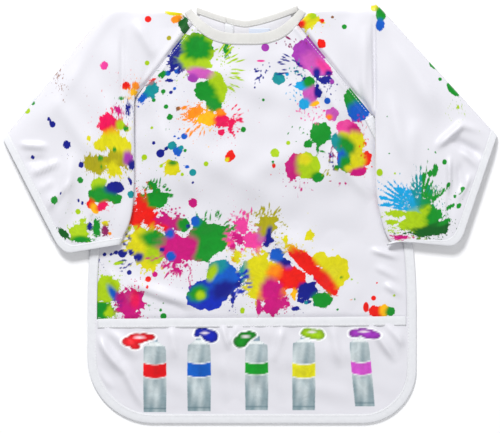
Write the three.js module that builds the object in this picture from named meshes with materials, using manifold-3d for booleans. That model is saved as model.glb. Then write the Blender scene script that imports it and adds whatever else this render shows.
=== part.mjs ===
// A child's long-sleeved art smock, laid flat on its back with its front up.
//
// Millimetres. +Z is up from the table, +Y runs towards the neck and +X to the viewer's right.
// The origin is on the table, under the middle of the smock's outline.
// Every fabric piece is a closed sheet. Bias tape is a folded C section that wraps a raw edge.

import * as THREE from "three";
import { mergeVertices } from "three/addons/utils/BufferGeometryUtils.js";
import Module from "manifold-3d";

const wasm = await Module();
wasm.setup();

// ---- Driving dimensions -------------------------------------------------------------------

const BODY_LENGTH = 441; // shoulder tips to hem
const HEM_LEFT = 170.5; // centre line to the left side edge at the hem
const HEM_RIGHT = 174.5; // centre line to the right side edge at the hem
const HEM_RADIUS_LEFT = 68;
const HEM_RADIUS_RIGHT = 56;
const NECK_CENTRE = -5; // the neckline lies this far off the centre line
const NECK_HALF_WIDTH = 64; // at the seam of the neck band
const NECK_DROP = 43; // shoulder tips to the bottom of the front neckline
const NECK_CURVE_HEIGHT = 33.4;
const NECK_CURVE_POWER = 3.1;
const NECK_BAND_WIDTH = 11.4;
const NECK_BAND_END_WIDTH = 8;
const NECK_BAND_DROOP = 4.5; // the front band's ends hang this far below its middle
const BACK_NECK_HALF_WIDTH = 52;
const BACK_NECK_DROP = 18; // shoulder tips to the bottom of the back neckline
const BACK_NECK_CURVE_HEIGHT = 15;
const BACK_NECK_CURVE_POWER = 1.4;
const BACK_BAND_START = 8; // the back band's outer end lies this far inside the raglan seam
const BACK_BAND_WIDTH = 7;
const BACK_FLAP_LENGTH = 108; // back neckline to the flap's lower edge
const FLAP_OVERLAP_LEFT = 26; // the right flap's end lies this far left of the centre line
const FLAP_OVERLAP_RIGHT = 24; // the left flap's end lies this far right of the centre line
const FLAP_CORNER = 14; // from the armpit to the flap's outer lower corner
const FLAP_CLIMB = 40; // length over which the upper flap comes down beside the lower one
const POCKET_DEPTH = 109; // mouth to hem, at the left side
const POCKET_TILT = 3; // the mouth is this much higher at the right side
const POCKET_BULGE = 6.6; // the empty pocket stands this far open at its mouth
const TAPE_WIDTH = 10; // finished width of the bias tape
const CUFF_TAPE_LEG = 0.93; // share of the sleeve's last ring of grid that the tape covers
const HOOK_LOOP_LENGTH = 32;
const HOOK_LOOP_WIDTH = 16;
const HOOK_LOOP_INSET = 3; // below the neck band
const LABEL_WIDTH = 22;
const LABEL_HEIGHT = 13;
const LABEL_X = 10;

const FABRIC = 0.5; // coated polyester, with its seam allowance
const TAPE_PLY = 0.5;
const HOOK_LOOP_PLY = 0.5;
const BAND_THICKNESS = 1.6; // neck band, folded double
const CLEAR = 0.3; // between pieces that are sewn together
const CHEST_LOFT = 9.7; // how far the front panel stands over the back flaps
const SLEEVE_TOP = 12.4; // height of the top layer of a sleeve
const LAID_ON_BODY = 4.4; // height of a sleeve's lower layer where the body is under it
const SLEEVE_PLIES = 2.4; // a sleeve's thickness at its folded edges

// Each sleeve is laid by hand, so the two have sizes of their own. x runs outwards from the
// centre line and y up from the armpit.
const SIDES = {
  left: {
    sign: -1,
    chest: 128, // centre line to armpit
    armpitDrop: 107.5, // shoulder tips to armpit
    seamTop: 60, // where the raglan seam meets the neck band
    fold: 121, // the sleeve folds over the front on this line
    shoulderTip: 146.5,
    shoulderDrop: 1.5,
    cuffTop: [130.8, -34.5],
    cuffCorner: [69, -155],
    cuffInner: [8.5, -145],
    innerEdge: [[-6.6, -40], [-6.2, -92], [-1, -124]],
  },
  right: {
    sign: 1,
    chest: 127.6,
    armpitDrop: 116,
    seamTop: 50,
    fold: 131,
    shoulderTip: 133,
    shoulderDrop: 0,
    cuffTop: [131.2, -22],
    cuffCorner: [91.2, -139],
    cuffInner: [22.8, -133],
    innerEdge: [[3.6, -45], [4.7, -81], [12, -118]],
  },
};

// ---- Places that follow from them ---------------------------------------------------------

const TOP = BODY_LENGTH / 2;
const HEM = -BODY_LENGTH / 2;
const TAPE_EDGE = TAPE_PLY + CLEAR; // from the tape's outer fold to the raw edge inside it
const PANEL_Z = TAPE_PLY + CLEAR; // underside of a panel that lies in tape on the table
const SLEEVE_Z = PANEL_Z + 0.1;
const ONE_PLY_TAPE = 2 * TAPE_PLY + 2 * CLEAR + FABRIC;
const UPPER_FLAP_Z = ONE_PLY_TAPE + CLEAR + PANEL_Z; // underside of the flap that laps over
const LOOP_Z = PANEL_Z + FABRIC + CLEAR;
const HOOK_Z = UPPER_FLAP_Z - CLEAR - HOOK_LOOP_PLY;

const smooth = THREE.MathUtils.smoothstep;
const mix = THREE.MathUtils.lerp;
const point = (x, y, z = 0) => new THREE.Vector3(x, y, z);
const armpitOf = (s) => point(s.sign * s.chest, TOP - s.armpitDrop);
const neckShare = (x) => (x - NECK_CENTRE) / NECK_HALF_WIDTH;
const seamTopOf = (s) => neckSeam(neckShare(s.sign * s.seamTop));
const fromArmpit = (s, [x, y]) => armpitOf(s).add(point(s.sign * x, y));

const line = (a, b) => new THREE.LineCurve3(a, b);
const through = (points) => new THREE.CatmullRomCurve3(points, false, "centripetal");

// A curve made of pieces, each of which takes its own share of the parameter, so that grid
// lines fall on the corners between them.
function joined(pieces) {
  const total = pieces.reduce((sum, [share]) => sum + share, 0);
  return (t) => {
    let at = t * total;
    for (const [share, curve] of pieces) {
      if (at <= share) return curve.getPointAt(at / share);
      at -= share;
    }
    return pieces.at(-1)[1].getPointAt(1);
  };
}

const steps = (n) => Array.from({ length: n + 1 }, (_, i) => i / n);

// The patch between four edges. u runs along bottom and top, v along left and right.
function patch({ bottom, top, left, right }) {
  return (u, v) => {
    const p = bottom(u).multiplyScalar(1 - v);
    p.addScaledVector(top(u), v);
    p.addScaledVector(left(v), 1 - u);
    p.addScaledVector(right(v), u);
    p.addScaledVector(bottom(0), -(1 - u) * (1 - v));
    p.addScaledVector(bottom(1), -u * (1 - v));
    p.addScaledVector(top(0), -(1 - u) * v);
    return p.addScaledVector(top(1), -u * v);
  };
}

// ---- Solids -------------------------------------------------------------------------------

// A solid from its points and faces, turned so that its faces point outwards.
function solid(points, faces) {
  const triangles = faces.flatMap((f) => f.slice(2).map((_, i) => [f[0], f[i + 1], f[i + 2]]));
  const volume = triangles.reduce(
    (sum, [a, b, c]) => sum + points[a].dot(points[b].clone().cross(points[c])),
    0,
  );
  if (volume < 0) triangles.forEach((t) => t.reverse());
  const geometry = new THREE.BufferGeometry().setFromPoints(points);
  return geometry.setIndex(triangles.flat());
}

// A sheet over the grid of us and vs, with its underside at pointAt(u, v).
function sheet(us, vs, pointAt, thickness) {
  const points = [];
  const faces = [];
  for (const rise of [0, thickness])
    for (const v of vs) for (const u of us) points.push(pointAt(u, v).add(point(0, 0, rise)));
  const wide = us.length;
  const layer = wide * vs.length;
  for (let j = 0; j + 1 < vs.length; j++)
    for (let i = 0; i + 1 < wide; i++) {
      const a = j * wide + i;
      faces.push([a, a + wide, a + wide + 1, a + 1]);
      faces.push([a, a + 1, a + wide + 1, a + wide].map((k) => k + layer));
    }
  const rim = [];
  for (let i = 0; i + 1 < wide; i++) rim.push(i);
  for (let j = 0; j + 1 < vs.length; j++) rim.push(j * wide + wide - 1);
  for (let i = wide - 1; i > 0; i--) rim.push(layer - wide + i);
  for (let j = vs.length - 1; j > 0; j--) rim.push(j * wide);
  rim.forEach((a, k) => {
    const b = rim[(k + 1) % rim.length];
    faces.push([a, b, b + layer, a + layer]);
  });
  return solid(points, faces);
}

// A tube of fabric from rings of points: outside and inside are lists of rings, joined at
// both open ends.
function tube(outside, inside) {
  const around = outside[0].length;
  const rings = [...outside, ...inside.slice().reverse()];
  const points = rings.flat();
  const faces = [];
  rings.forEach((_, r) => {
    const next = (r + 1) % rings.length;
    for (let k = 0; k < around; k++) {
      const l = (k + 1) % around;
      const a = r * around;
      const b = next * around;
      faces.push([a + k, a + l, b + l, b + k]);
    }
  });
  return solid(points, faces);
}

// A ring pushed outwards from its middle. along holds the tube's direction at each point.
function pushed(ring, along, distance) {
  const middle = ring.reduce((sum, p) => sum.add(p), point(0, 0)).divideScalar(ring.length);
  return ring.map((at, k) => {
    const next = ring[(k + 1) % ring.length];
    const last = ring[(k + ring.length - 1) % ring.length];
    const sides = [next.clone().sub(at), at.clone().sub(last)];
    const [a, b] = sides.map((side) => side.cross(along[k]).normalize());
    const out = a.clone().add(b).normalize();
    out.divideScalar(out.dot(a));
    if (out.dot(at.clone().sub(middle)) < 0) out.negate();
    return at.clone().addScaledVector(out, distance);
  });
}

// Bias tape folded round the open end of a tube, from the tube's own rings.
function cuffTape(outside, inside) {
  const wrap = (rings, side) => {
    const end = rings.at(-1);
    const along = end.map((p, k) => rings.at(-2)[k].clone().sub(p).normalize());
    const foot = end.map((p, k) => p.clone().lerp(rings.at(-2)[k], CUFF_TAPE_LEG));
    const past = (distance) => end.map((p, k) => p.clone().addScaledVector(along[k], -distance));
    const near = side * CLEAR;
    const far = side * (CLEAR + TAPE_PLY);
    return [
      pushed(foot, along, near),
      pushed(past(CLEAR), along, near),
      pushed(past(TAPE_EDGE), along, far),
      pushed(foot, along, far),
    ];
  };
  const [a, b, c, d] = wrap(outside, 1);
  const [e, f, g, h] = wrap(inside, -1);
  return tube([a, b, f, e], [d, c, g, h]);
}

// A section swept along frames. Each frame has a place, an inward and an upward direction,
// and each corner of the section is [inward, upward].
function swept(frames, section) {
  const points = frames.flatMap(({ at, inward, upward }) =>
    section.map(([s, n]) => at.clone().addScaledVector(inward, s).addScaledVector(upward, n)),
  );
  const around = section.length;
  const faces = [];
  for (let r = 0; r + 1 < frames.length; r++)
    for (let k = 0; k < around; k++) {
      const l = (k + 1) % around;
      const a = r * around;
      const b = (r + 1) * around;
      faces.push([a + k, a + l, b + l, b + k]);
    }
  const flat = section.map(([s, n]) => new THREE.Vector2(s, n));
  const last = (frames.length - 1) * around;
  for (const t of THREE.ShapeUtils.triangulateShape(flat, [])) {
    faces.push([t[2], t[1], t[0]]);
    faces.push(t.map((k) => k + last));
  }
  return solid(points, faces);
}

function manifoldOf(geometry) {
  const bare = new THREE.BufferGeometry().setAttribute("position", geometry.getAttribute("position"));
  if (geometry.index) bare.setIndex(geometry.index);
  const { attributes, index } = mergeVertices(bare, 1e-3);
  const vertProperties = attributes.position.array;
  const triVerts = new Uint32Array(index.array);
  return new wasm.Manifold(new wasm.Mesh({ numProp: 3, vertProperties, triVerts }));
}

// The geometry with each of the tools cut away from it.
function cut(geometry, tools) {
  const left = tools.reduce((body, tool) => body.subtract(manifoldOf(tool)), manifoldOf(geometry));
  const { vertProperties, triVerts } = left.getMesh();
  const made = new THREE.BufferGeometry();
  made.setAttribute("position", new THREE.BufferAttribute(vertProperties, 3));
  return made.setIndex(new THREE.BufferAttribute(triVerts, 1));
}

// The C section of bias tape folded round a raw edge at [0, 0], whose fabric fills from 0 to
// filled above it.
function tapeSection(filled, width = TAPE_WIDTH) {
  const outer = -TAPE_EDGE;
  const leg = width - TAPE_EDGE;
  const low = -CLEAR;
  const high = filled + CLEAR;
  return [
    [outer, low - TAPE_PLY],
    [leg, low - TAPE_PLY],
    [leg, low],
    [-CLEAR, low],
    [-CLEAR, high],
    [leg, high],
    [leg, high + TAPE_PLY],
    [outer, high + TAPE_PLY],
  ];
}

// Frames along an edge in the order of its points, with the cloth on its left-hand side.
function edgeFrames(points) {
  return points.map((at, i) => {
    const before = points[Math.max(i - 1, 0)];
    const after = points[Math.min(i + 1, points.length - 1)];
    const normals = [
      [before, at],
      [at, after],
    ]
      .map(([a, b]) => point(a.y - b.y, b.x - a.x).normalize())
      .filter((n) => n.lengthSq() > 0);
    const inward = normals.reduce((a, b) => a.clone().add(b)).normalize();
    inward.divideScalar(Math.max(inward.dot(normals[0]), 0.5));
    return { at, inward, upward: point(0, 0, 1) };
  });
}

// ---- Body ---------------------------------------------------------------------------------

const MATERIALS = {
  print: { color: 0xf1f0f4, roughness: 0.45 },
  pocket: { color: 0xeceaf0, roughness: 0.45 },
  tape: { color: 0xf4f4f6, roughness: 0.6 },
  band: { color: 0xe9e9e6, roughness: 0.75 },
  closure: { color: 0xe6e4e4, roughness: 0.9 },
  label: { color: 0xdfe3ee, roughness: 0.5 },
};

const smock = new THREE.Group();

function piece(name, material, geometry) {
  const made = new THREE.MeshStandardMaterial({ ...MATERIALS[material], metalness: 0 });
  const mesh = new THREE.Mesh(geometry, made);
  mesh.name = name;
  smock.add(mesh);
}

const POCKET_AT = 0.3; // shares of a side's grid rows below the pocket's mouth and the armpit
const ARMPIT_AT = 0.76;
const FRONT_CORNERS = [
  { x: -HEM_LEFT + TAPE_EDGE, radius: HEM_RADIUS_LEFT, depth: POCKET_DEPTH, side: SIDES.left },
  {
    x: HEM_RIGHT - TAPE_EDGE,
    radius: HEM_RADIUS_RIGHT,
    depth: POCKET_DEPTH + POCKET_TILT,
    side: SIDES.right,
  },
];
const RAW_HEM = HEM + TAPE_EDGE;

// A side runs straight up past the pocket, in to the armpit, and up the raglan seam.
function bodySide({ x, depth, side }) {
  const armpit = armpitOf(side);
  const mouthEnd = point(x, HEM + depth);
  const between = (share, inShare) =>
    point(mix(x, armpit.x, inShare), mix(mouthEnd.y, armpit.y, share));
  return joined([
    [POCKET_AT, line(point(x, RAW_HEM), mouthEnd)],
    [ARMPIT_AT - POCKET_AT, through([mouthEnd, between(0.35, 0.05), between(0.7, 0.42), armpit])],
    [1 - ARMPIT_AT, line(armpit, seamTopOf(side).add(point(0, -CLEAR)))],
  ]);
}

// The neckline's seam, from one side (-1) of it to the other (1).
function neckSeam(t) {
  const rise = NECK_CURVE_HEIGHT * Math.abs(t) ** NECK_CURVE_POWER;
  return point(NECK_CENTRE + NECK_HALF_WIDTH * t, TOP - NECK_DROP + rise);
}

// How far the front stands off the table: high over the back flaps, low at the bound sides
// and at the pocket.
function frontHeight(x, y) {
  const chest = Math.min(SIDES.left.chest, SIDES.right.chest);
  const across = 1 - smooth(Math.abs(x), chest - 38, chest - 2);
  const down = smooth(y, TOP - 250, TOP - 150);
  return PANEL_Z + CHEST_LOFT * across * down;
}

const [leftCorner, rightCorner] = FRONT_CORNERS;
const frontPatch = patch({
  bottom: (u) => point(mix(leftCorner.x, rightCorner.x, u), RAW_HEM),
  top: (u) => {
    const from = neckShare(seamTopOf(SIDES.left).x);
    const to = neckShare(seamTopOf(SIDES.right).x);
    return neckSeam(mix(from, to, u)).add(point(0, -CLEAR));
  },
  left: bodySide(leftCorner),
  right: bodySide(rightCorner),
});
const frontAt = (u, v) => {
  const at = frontPatch(u, v);
  at.z = frontHeight(at.x, at.y);
  return at;
};

// What is cut away to round a lower corner, and the points of its rounded raw edge.
const roundEdge = ({ x, radius }) =>
  steps(7).map((t) => {
    const turn = (t * Math.PI) / 2;
    const centre = x - Math.sign(x) * radius;
    const across = Math.sign(x) * radius * Math.cos(turn);
    return point(centre + across, RAW_HEM + radius * (1 - Math.sin(turn)), PANEL_Z);
  });
function cornerTool(corner) {
  const past = corner.x + Math.sign(corner.x) * TAPE_WIDTH;
  const edge = roundEdge(corner);
  const outline = [
    point(past, edge[0].y),
    ...edge,
    point(edge.at(-1).x, RAW_HEM - TAPE_WIDTH),
    point(past, RAW_HEM - TAPE_WIDTH),
  ];
  const shape = new THREE.Shape(outline.map((p) => new THREE.Vector2(p.x, p.y)));
  return new THREE.ExtrudeGeometry(shape, { depth: CHEST_LOFT, bevelEnabled: false });
}
const cornerTools = FRONT_CORNERS.map(cornerTool);

// Columns stand at the tape's inner edge and at the pocket mouth's ends.
const HALF_US = [0, 0.031, 0.042, 0.082, 0.131, 0.2, 0.3, 0.4];
const FRONT_US = [...HALF_US, 0.5, ...HALF_US.map((u) => 1 - u).reverse()];
const POCKET_ROWS = [0, 0.11, 0.25, 0.42, 0.65, 0.87, 1];
const FRONT_ROWS = [0.38, 0.46, 0.54, 0.61, 0.68, ARMPIT_AT, 0.82, 0.88, 0.94, 1];
const FRONT_VS = [...POCKET_ROWS.map((v) => v * POCKET_AT), ...FRONT_ROWS];
piece("front_panel", "print", cut(sheet(FRONT_US, FRONT_VS, frontAt, FABRIC), cornerTools));

// Bias tape round the sides and the hem, in one length from armpit to armpit.
const sideVs = (corner) =>
  FRONT_VS.filter((v) => v > 0 && v < ARMPIT_AT).filter(
    (v) => v >= POCKET_AT || (v / POCKET_AT) * corner.depth > corner.radius + TAPE_WIDTH,
  );
const hemUs = FRONT_US.filter((u) => {
  const { x } = frontAt(u, 0);
  const clear = TAPE_WIDTH / 2;
  return (
    x > leftCorner.x + leftCorner.radius + clear && x < rightCorner.x - rightCorner.radius - clear
  );
});
const boundEdge = [
  ...sideVs(leftCorner).map((v) => frontAt(0, v)).reverse(),
  ...roundEdge(leftCorner).map((p) => p.setZ(frontHeight(p.x, p.y))),
  ...hemUs.map((u) => frontAt(u, 0)),
  ...roundEdge(rightCorner).map((p) => p.setZ(frontHeight(p.x, p.y))).reverse(),
  ...sideVs(rightCorner).map((v) => frontAt(1, v)),
];
const TWO_PLIES = 2 * FABRIC + CLEAR;
piece("side_and_hem_binding", "tape", swept(edgeFrames(boundEdge), tapeSection(TWO_PLIES)));

// ---- Pocket -------------------------------------------------------------------------------

const MOUTH_END = 2; // the column where the mouth's binding starts, clear of the side binding
const MOUTH_STEP = TAPE_EDGE + CLEAR / 2; // the mouth stands off the front by its tape there

// How far inside the rounded raw edge a point lies.
function depthInside({ x, y }) {
  const corner = x < 0 ? leftCorner : rightCorner;
  const side = Math.abs(corner.x - x);
  const foot = y - RAW_HEM;
  if (side > corner.radius || foot > corner.radius) return Math.min(side, foot);
  return corner.radius - Math.hypot(corner.radius - side, corner.radius - foot);
}

// The pocket lies on the front panel's own grid, so it fits the tape with it. Its sides and
// foot are flat in the tape, and its mouth stands open.
function pocketAt(u, v) {
  const at = frontPatch(u, v * POCKET_AT);
  const open = smooth(v, 0.11, 0.87);
  const side = Math.min(u, 1 - u);
  const step = side < FRONT_US[MOUTH_END] ? 0 : MOUTH_STEP * smooth(v, 0.42, 0.87);
  const bulge = (POCKET_BULGE - MOUTH_STEP) * smooth(depthInside(at), 14, 90) * open;
  at.z = frontHeight(at.x, at.y) + FABRIC + CLEAR + step + bulge;
  return at;
}
piece("pocket_panel", "pocket", cut(sheet(FRONT_US, POCKET_ROWS, pocketAt, FABRIC), cornerTools));

const mouth = FRONT_US.slice(MOUTH_END, -MOUTH_END).map((u) => pocketAt(u, 1)).reverse();
piece("pocket_mouth_binding", "tape", swept(edgeFrames(mouth), tapeSection(FABRIC)));

// ---- Neck band ----------------------------------------------------------------------------

function neckBandAt(u, v) {
  const t = 2 * u - 1;
  const at = neckSeam(t);
  const width = mix(NECK_BAND_WIDTH, NECK_BAND_END_WIDTH, t ** 4);
  const along = neckSeam(Math.min(t + 0.02, 1)).sub(neckSeam(Math.max(t - 0.02, -1)));
  const inward = point(-along.y, along.x).normalize();
  at.addScaledVector(inward, CLEAR + v * width);
  const droop = NECK_BAND_DROOP * smooth(Math.abs(t), 0.75, 1);
  at.z = PANEL_Z + CHEST_LOFT - BAND_THICKNESS / 2 - droop;
  return at;
}
piece("neck_band", "band", sheet(steps(16), [0, 1], neckBandAt, BAND_THICKNESS));

// ---- Sleeves ------------------------------------------------------------------------------

const AROUND = steps(7);
const ALONG_HEAD = steps(2);
const ALONG_ARM = [0, 0.16, 0.33, 0.5, 0.67, 0.82, 0.94, 1];

// One ring of a flattened tube: over the top layer from the inner fold to the outer one, and
// back under the lower layer. inset is 0 on the outside and the cloth's thickness inside.
function ring(topAt, lowAt, topZ, lowZ, inset) {
  const across = topAt(0).distanceTo(topAt(1));
  const place = (at, z) => (u) => {
    const p = at(mix(inset / across, 1 - inset / across, u));
    p.z = z(u, p);
    return p;
  };
  const over = AROUND.map(place(topAt, (u, p) => topZ(u, p) - inset));
  const under = AROUND.map(place(lowAt, (u, p) => lowZ(u, p) + inset)).reverse();
  return [...over, ...under];
}

// The rise of the top layer between the two folds.
const arch = (u) => Math.max(0, 1 - (2 * u - 1) ** 4) ** 0.5;

function sleeve(name, s) {
  const armpit = armpitOf(s);
  const seamTop = seamTopOf(s);
  const foldX = s.sign * s.fold;
  const shoulder = point(s.sign * s.shoulderTip, TOP - s.shoulderDrop);
  const neckEnd = neckSeam(s.sign).add(point(s.sign * 2, -1));
  const cuffTop = fromArmpit(s, s.cuffTop);
  const cuffCorner = fromArmpit(s, s.cuffCorner);
  const cuffInner = fromArmpit(s, s.cuffInner);
  const innerEdge = s.innerEdge.map((offset) => fromArmpit(s, offset));

  // The head of the sleeve, from the raglan seam to the fold.
  const out = (p, d) => p.clone().add(point(s.sign * d, 0));
  const seamAt = (x) => {
    const share = (x - armpit.x) / (seamTop.x - armpit.x);
    return point(x, mix(armpit.y, seamTop.y, share));
  };
  const gap = s.sign * CLEAR;
  const start = s.fold > s.chest ? armpit.clone() : seamAt(foldX - s.sign * 3);
  const besideSeam = point(0, 0.8 * CLEAR);
  const seam = line(out(start, CLEAR).add(besideSeam), out(seamTop, CLEAR + 1).add(besideSeam));
  const neckEdge = line(seam.getPoint(1), out(neckEnd, CLEAR));
  const headTop = point(foldX - gap, mix(neckEnd.y, shoulder.y, 0.85));
  const headFoot = point(foldX - gap, start.y - 3);
  const headEdges = {
    bottom: joined([
      [5, seam],
      [2, neckEdge],
    ]),
    top: (u) => headFoot.clone().lerp(headTop, u),
    left: (v) => seam.getPoint(0).lerp(headFoot, v),
    right: (v) => neckEdge.getPoint(1).lerp(headTop, v),
  };
  const headAt = patch(headEdges);
  const headRings = (inset) =>
    ALONG_HEAD.map((v) => {
      const at = (u) => headAt(u, v);
      const low = () => SLEEVE_Z;
      const high = (u) => {
        const rise = mix(CHEST_LOFT + FABRIC, SLEEVE_TOP - SLEEVE_Z, v) - SLEEVE_PLIES;
        return SLEEVE_Z + SLEEVE_PLIES + rise * arch(u);
      };
      return ring(at, at, high, low, inset);
    });
  piece(`${name}_sleeve_head`, "print", tube(headRings(0), headRings(FABRIC)));

  // The arm of the sleeve, from the fold to the cuff.
  const armTop = point(foldX + gap, headTop.y);
  const armFoot = point(foldX + gap, headFoot.y);
  const inner = through([armFoot, ...innerEdge, cuffInner]);
  const top = joined([
    [1, line(armTop, shoulder)],
    [4, line(shoulder, cuffTop)],
  ]);
  const frontCuff = joined([
    [3, line(cuffInner, cuffCorner)],
    [4, line(cuffCorner, cuffTop)],
  ]);
  const edges = {
    bottom: (u) => armFoot.clone().lerp(armTop, u),
    left: (v) => inner.getPointAt(v),
    right: (v) => top(v),
  };
  const frontAtUv = patch({ ...edges, top: frontCuff });
  const backAtUv = patch({ ...edges, top: (u) => cuffInner.clone().lerp(cuffTop, u) });
  const bodyEdge = s.sign < 0 ? HEM_LEFT : HEM_RIGHT;
  const lowZ = (u, p) => {
    const over = 1 - smooth(Math.abs(p.x), bodyEdge + 6, bodyEdge + 28);
    return mix(SLEEVE_Z, LAID_ON_BODY, over * (1 - smooth(p.y, armpit.y + 14, armpit.y + 40)));
  };
  const highZ = (u, p) => {
    const low = lowZ(u, p) + SLEEVE_PLIES;
    return low + (SLEEVE_TOP - low) * arch(u);
  };
  const armRings = (inset) =>
    ALONG_ARM.map((v) => ring((u) => frontAtUv(u, v), (u) => backAtUv(u, v), highZ, lowZ, inset));
  const outside = armRings(0);
  const inside = armRings(FABRIC);
  piece(`${name}_sleeve`, "print", tube(outside, inside));
  piece(`${name}_cuff_binding`, "tape", cuffTape(outside, inside));
}
sleeve("left", SIDES.left);
sleeve("right", SIDES.right);

// ---- Back flaps and closure ---------------------------------------------------------------

// The upper flap climbs over the lower one.
const lowerFlapZ = () => PANEL_Z;
function upperFlapZ(x) {
  const clearOf = FLAP_OVERLAP_RIGHT + 6;
  return mix(UPPER_FLAP_Z, PANEL_Z, smooth(x, clearOf, clearOf + FLAP_CLIMB));
}

// The back neckline, from one side (-1) of it to the other (1).
function backNeck(t) {
  const rise = BACK_NECK_CURVE_HEIGHT * Math.abs(t) ** BACK_NECK_CURVE_POWER;
  return point(NECK_CENTRE + BACK_NECK_HALF_WIDTH * t, TOP - BACK_NECK_DROP + rise);
}

const FLAP_US = steps(8);
const FLAP_VS = [0, 0.12, 0.4, 0.7, 0.9, 1];

function backFlap(name, s, endX, heightAt) {
  const armpit = armpitOf(s);
  const seamTop = seamTopOf(s);
  const inside = -s.sign * CLEAR;
  const along = FLAP_CORNER / Math.abs(armpit.x - seamTop.x);
  const corner = armpit.clone().lerp(seamTop, along).add(point(inside, -CLEAR));
  const neckShareOf = (x) => (x - NECK_CENTRE) / BACK_NECK_HALF_WIDTH;
  const seamEnd = seamTop.clone().add(point(inside, -CLEAR));
  const neckEnd = neckShareOf(endX);
  const below = point(0, -BACK_BAND_WIDTH - 2 * CLEAR);
  const centreTop = backNeck(neckEnd).add(below);
  const centreFoot = point(endX, TOP - BACK_NECK_DROP - BACK_FLAP_LENGTH);
  const neckStart = neckShareOf(s.sign * (s.seamTop - BACK_BAND_START));
  const neckFrom = backNeck(neckStart).add(below);
  const bend = point(mix(corner.x, centreFoot.x, 0.4), mix(corner.y, centreFoot.y, 0.75));
  const lowerEdge = through([corner, bend, centreFoot]);
  const shoulderShare = FLAP_US[1];
  const edges = {
    bottom: (u) => lowerEdge.getPointAt(u),
    top: (u) => {
      if (u < shoulderShare) return seamEnd.clone().lerp(neckFrom, u / shoulderShare);
      const share = (u - shoulderShare) / (1 - shoulderShare);
      return backNeck(mix(neckStart, neckEnd, share)).add(below);
    },
    left: (v) => corner.clone().lerp(seamEnd, v),
    right: (v) => centreFoot.clone().lerp(centreTop, v),
  };
  const flat = patch(edges);
  const flapAt = (u, v) => {
    const at = flat(u, v);
    at.z = heightAt(at.x);
    return at;
  };
  piece(`${name}_back_flap`, "print", sheet(FLAP_US, FLAP_VS, flapAt, FABRIC));

  // Tape round the flap's lower edge and its centre edge.
  const edge = [
    ...FLAP_US.slice(1).map((u) => flapAt(u, 0)),
    ...FLAP_VS.slice(1).map((v) => flapAt(1, v)),
  ];
  edge.at(-1).lerp(edge.at(-2), 0.6);
  if (s.sign > 0) edge.reverse();
  piece(`${name}_flap_binding`, "tape", swept(edgeFrames(edge), tapeSection(FABRIC)));

  // The back part of the neck band, which opens with the flap.
  const bandAt = (u, v) => {
    const at = backNeck(mix(neckStart, neckEnd, u));
    at.y += (v - 1) * BACK_BAND_WIDTH;
    at.z = heightAt(at.x) - (BAND_THICKNESS - FABRIC) / 2;
    return at;
  };
  piece(`${name}_back_neck_band`, "band", sheet(FLAP_US, [0, 1], bandAt, BAND_THICKNESS));
}
backFlap("left", SIDES.left, FLAP_OVERLAP_RIGHT, lowerFlapZ);
backFlap("right", SIDES.right, -FLAP_OVERLAP_LEFT, upperFlapZ);

// Hook and loop between the two flap ends, and the label inside the back neck.
function plate(name, material, [width, height, thickness], [x, y, z]) {
  const geometry = new THREE.BoxGeometry(width, height, thickness);
  piece(name, material, geometry.translate(x, y, z + thickness / 2));
}
const belowBand = TOP - BACK_NECK_DROP - BACK_BAND_WIDTH;
const closureX = (FLAP_OVERLAP_RIGHT - FLAP_OVERLAP_LEFT) / 2;
const closureY = belowBand - HOOK_LOOP_INSET - HOOK_LOOP_WIDTH / 2;
const closureRoom = FLAP_OVERLAP_LEFT + FLAP_OVERLAP_RIGHT - 2 * (TAPE_WIDTH + CLEAR);
const closureLength = Math.min(HOOK_LOOP_LENGTH, closureRoom);
const closureSize = [closureLength, HOOK_LOOP_WIDTH, HOOK_LOOP_PLY];
plate("closure_loop_tape", "closure", closureSize, [closureX, closureY, LOOP_Z]);
plate("closure_hook_tape", "closure", closureSize, [closureX, closureY, HOOK_Z]);

const labelPlace = [LABEL_X, belowBand - 1 - LABEL_HEIGHT / 2, UPPER_FLAP_Z + FABRIC + CLEAR];
plate("neck_label", "label", [LABEL_WIDTH, LABEL_HEIGHT, FABRIC], labelPlace);

export default smock;
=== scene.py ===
import math

import bpy
import numpy as np
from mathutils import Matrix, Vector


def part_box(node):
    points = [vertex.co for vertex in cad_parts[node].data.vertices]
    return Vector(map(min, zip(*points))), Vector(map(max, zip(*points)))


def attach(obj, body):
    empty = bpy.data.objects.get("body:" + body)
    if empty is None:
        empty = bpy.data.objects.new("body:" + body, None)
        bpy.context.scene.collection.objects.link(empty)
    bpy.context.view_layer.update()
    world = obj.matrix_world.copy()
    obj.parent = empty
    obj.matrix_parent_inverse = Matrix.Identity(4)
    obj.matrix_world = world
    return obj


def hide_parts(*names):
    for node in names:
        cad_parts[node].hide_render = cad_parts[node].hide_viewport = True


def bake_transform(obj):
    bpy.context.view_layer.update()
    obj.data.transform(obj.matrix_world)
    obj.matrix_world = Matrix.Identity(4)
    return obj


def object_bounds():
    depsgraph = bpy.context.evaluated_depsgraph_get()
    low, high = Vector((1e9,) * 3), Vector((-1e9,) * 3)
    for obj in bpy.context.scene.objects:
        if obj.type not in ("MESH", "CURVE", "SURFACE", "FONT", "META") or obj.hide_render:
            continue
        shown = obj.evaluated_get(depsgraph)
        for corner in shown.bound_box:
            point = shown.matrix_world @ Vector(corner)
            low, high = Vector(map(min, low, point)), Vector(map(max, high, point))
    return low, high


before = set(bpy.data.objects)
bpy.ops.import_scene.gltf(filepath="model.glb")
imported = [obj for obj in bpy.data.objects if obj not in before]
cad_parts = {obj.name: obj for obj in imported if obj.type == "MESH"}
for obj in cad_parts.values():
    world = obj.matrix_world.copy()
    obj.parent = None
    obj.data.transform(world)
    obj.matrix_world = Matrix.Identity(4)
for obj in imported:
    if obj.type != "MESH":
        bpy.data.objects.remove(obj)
cad_box = [list(corner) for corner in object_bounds()]
bpy.ops.object.select_all(action="DESELECT")

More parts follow.
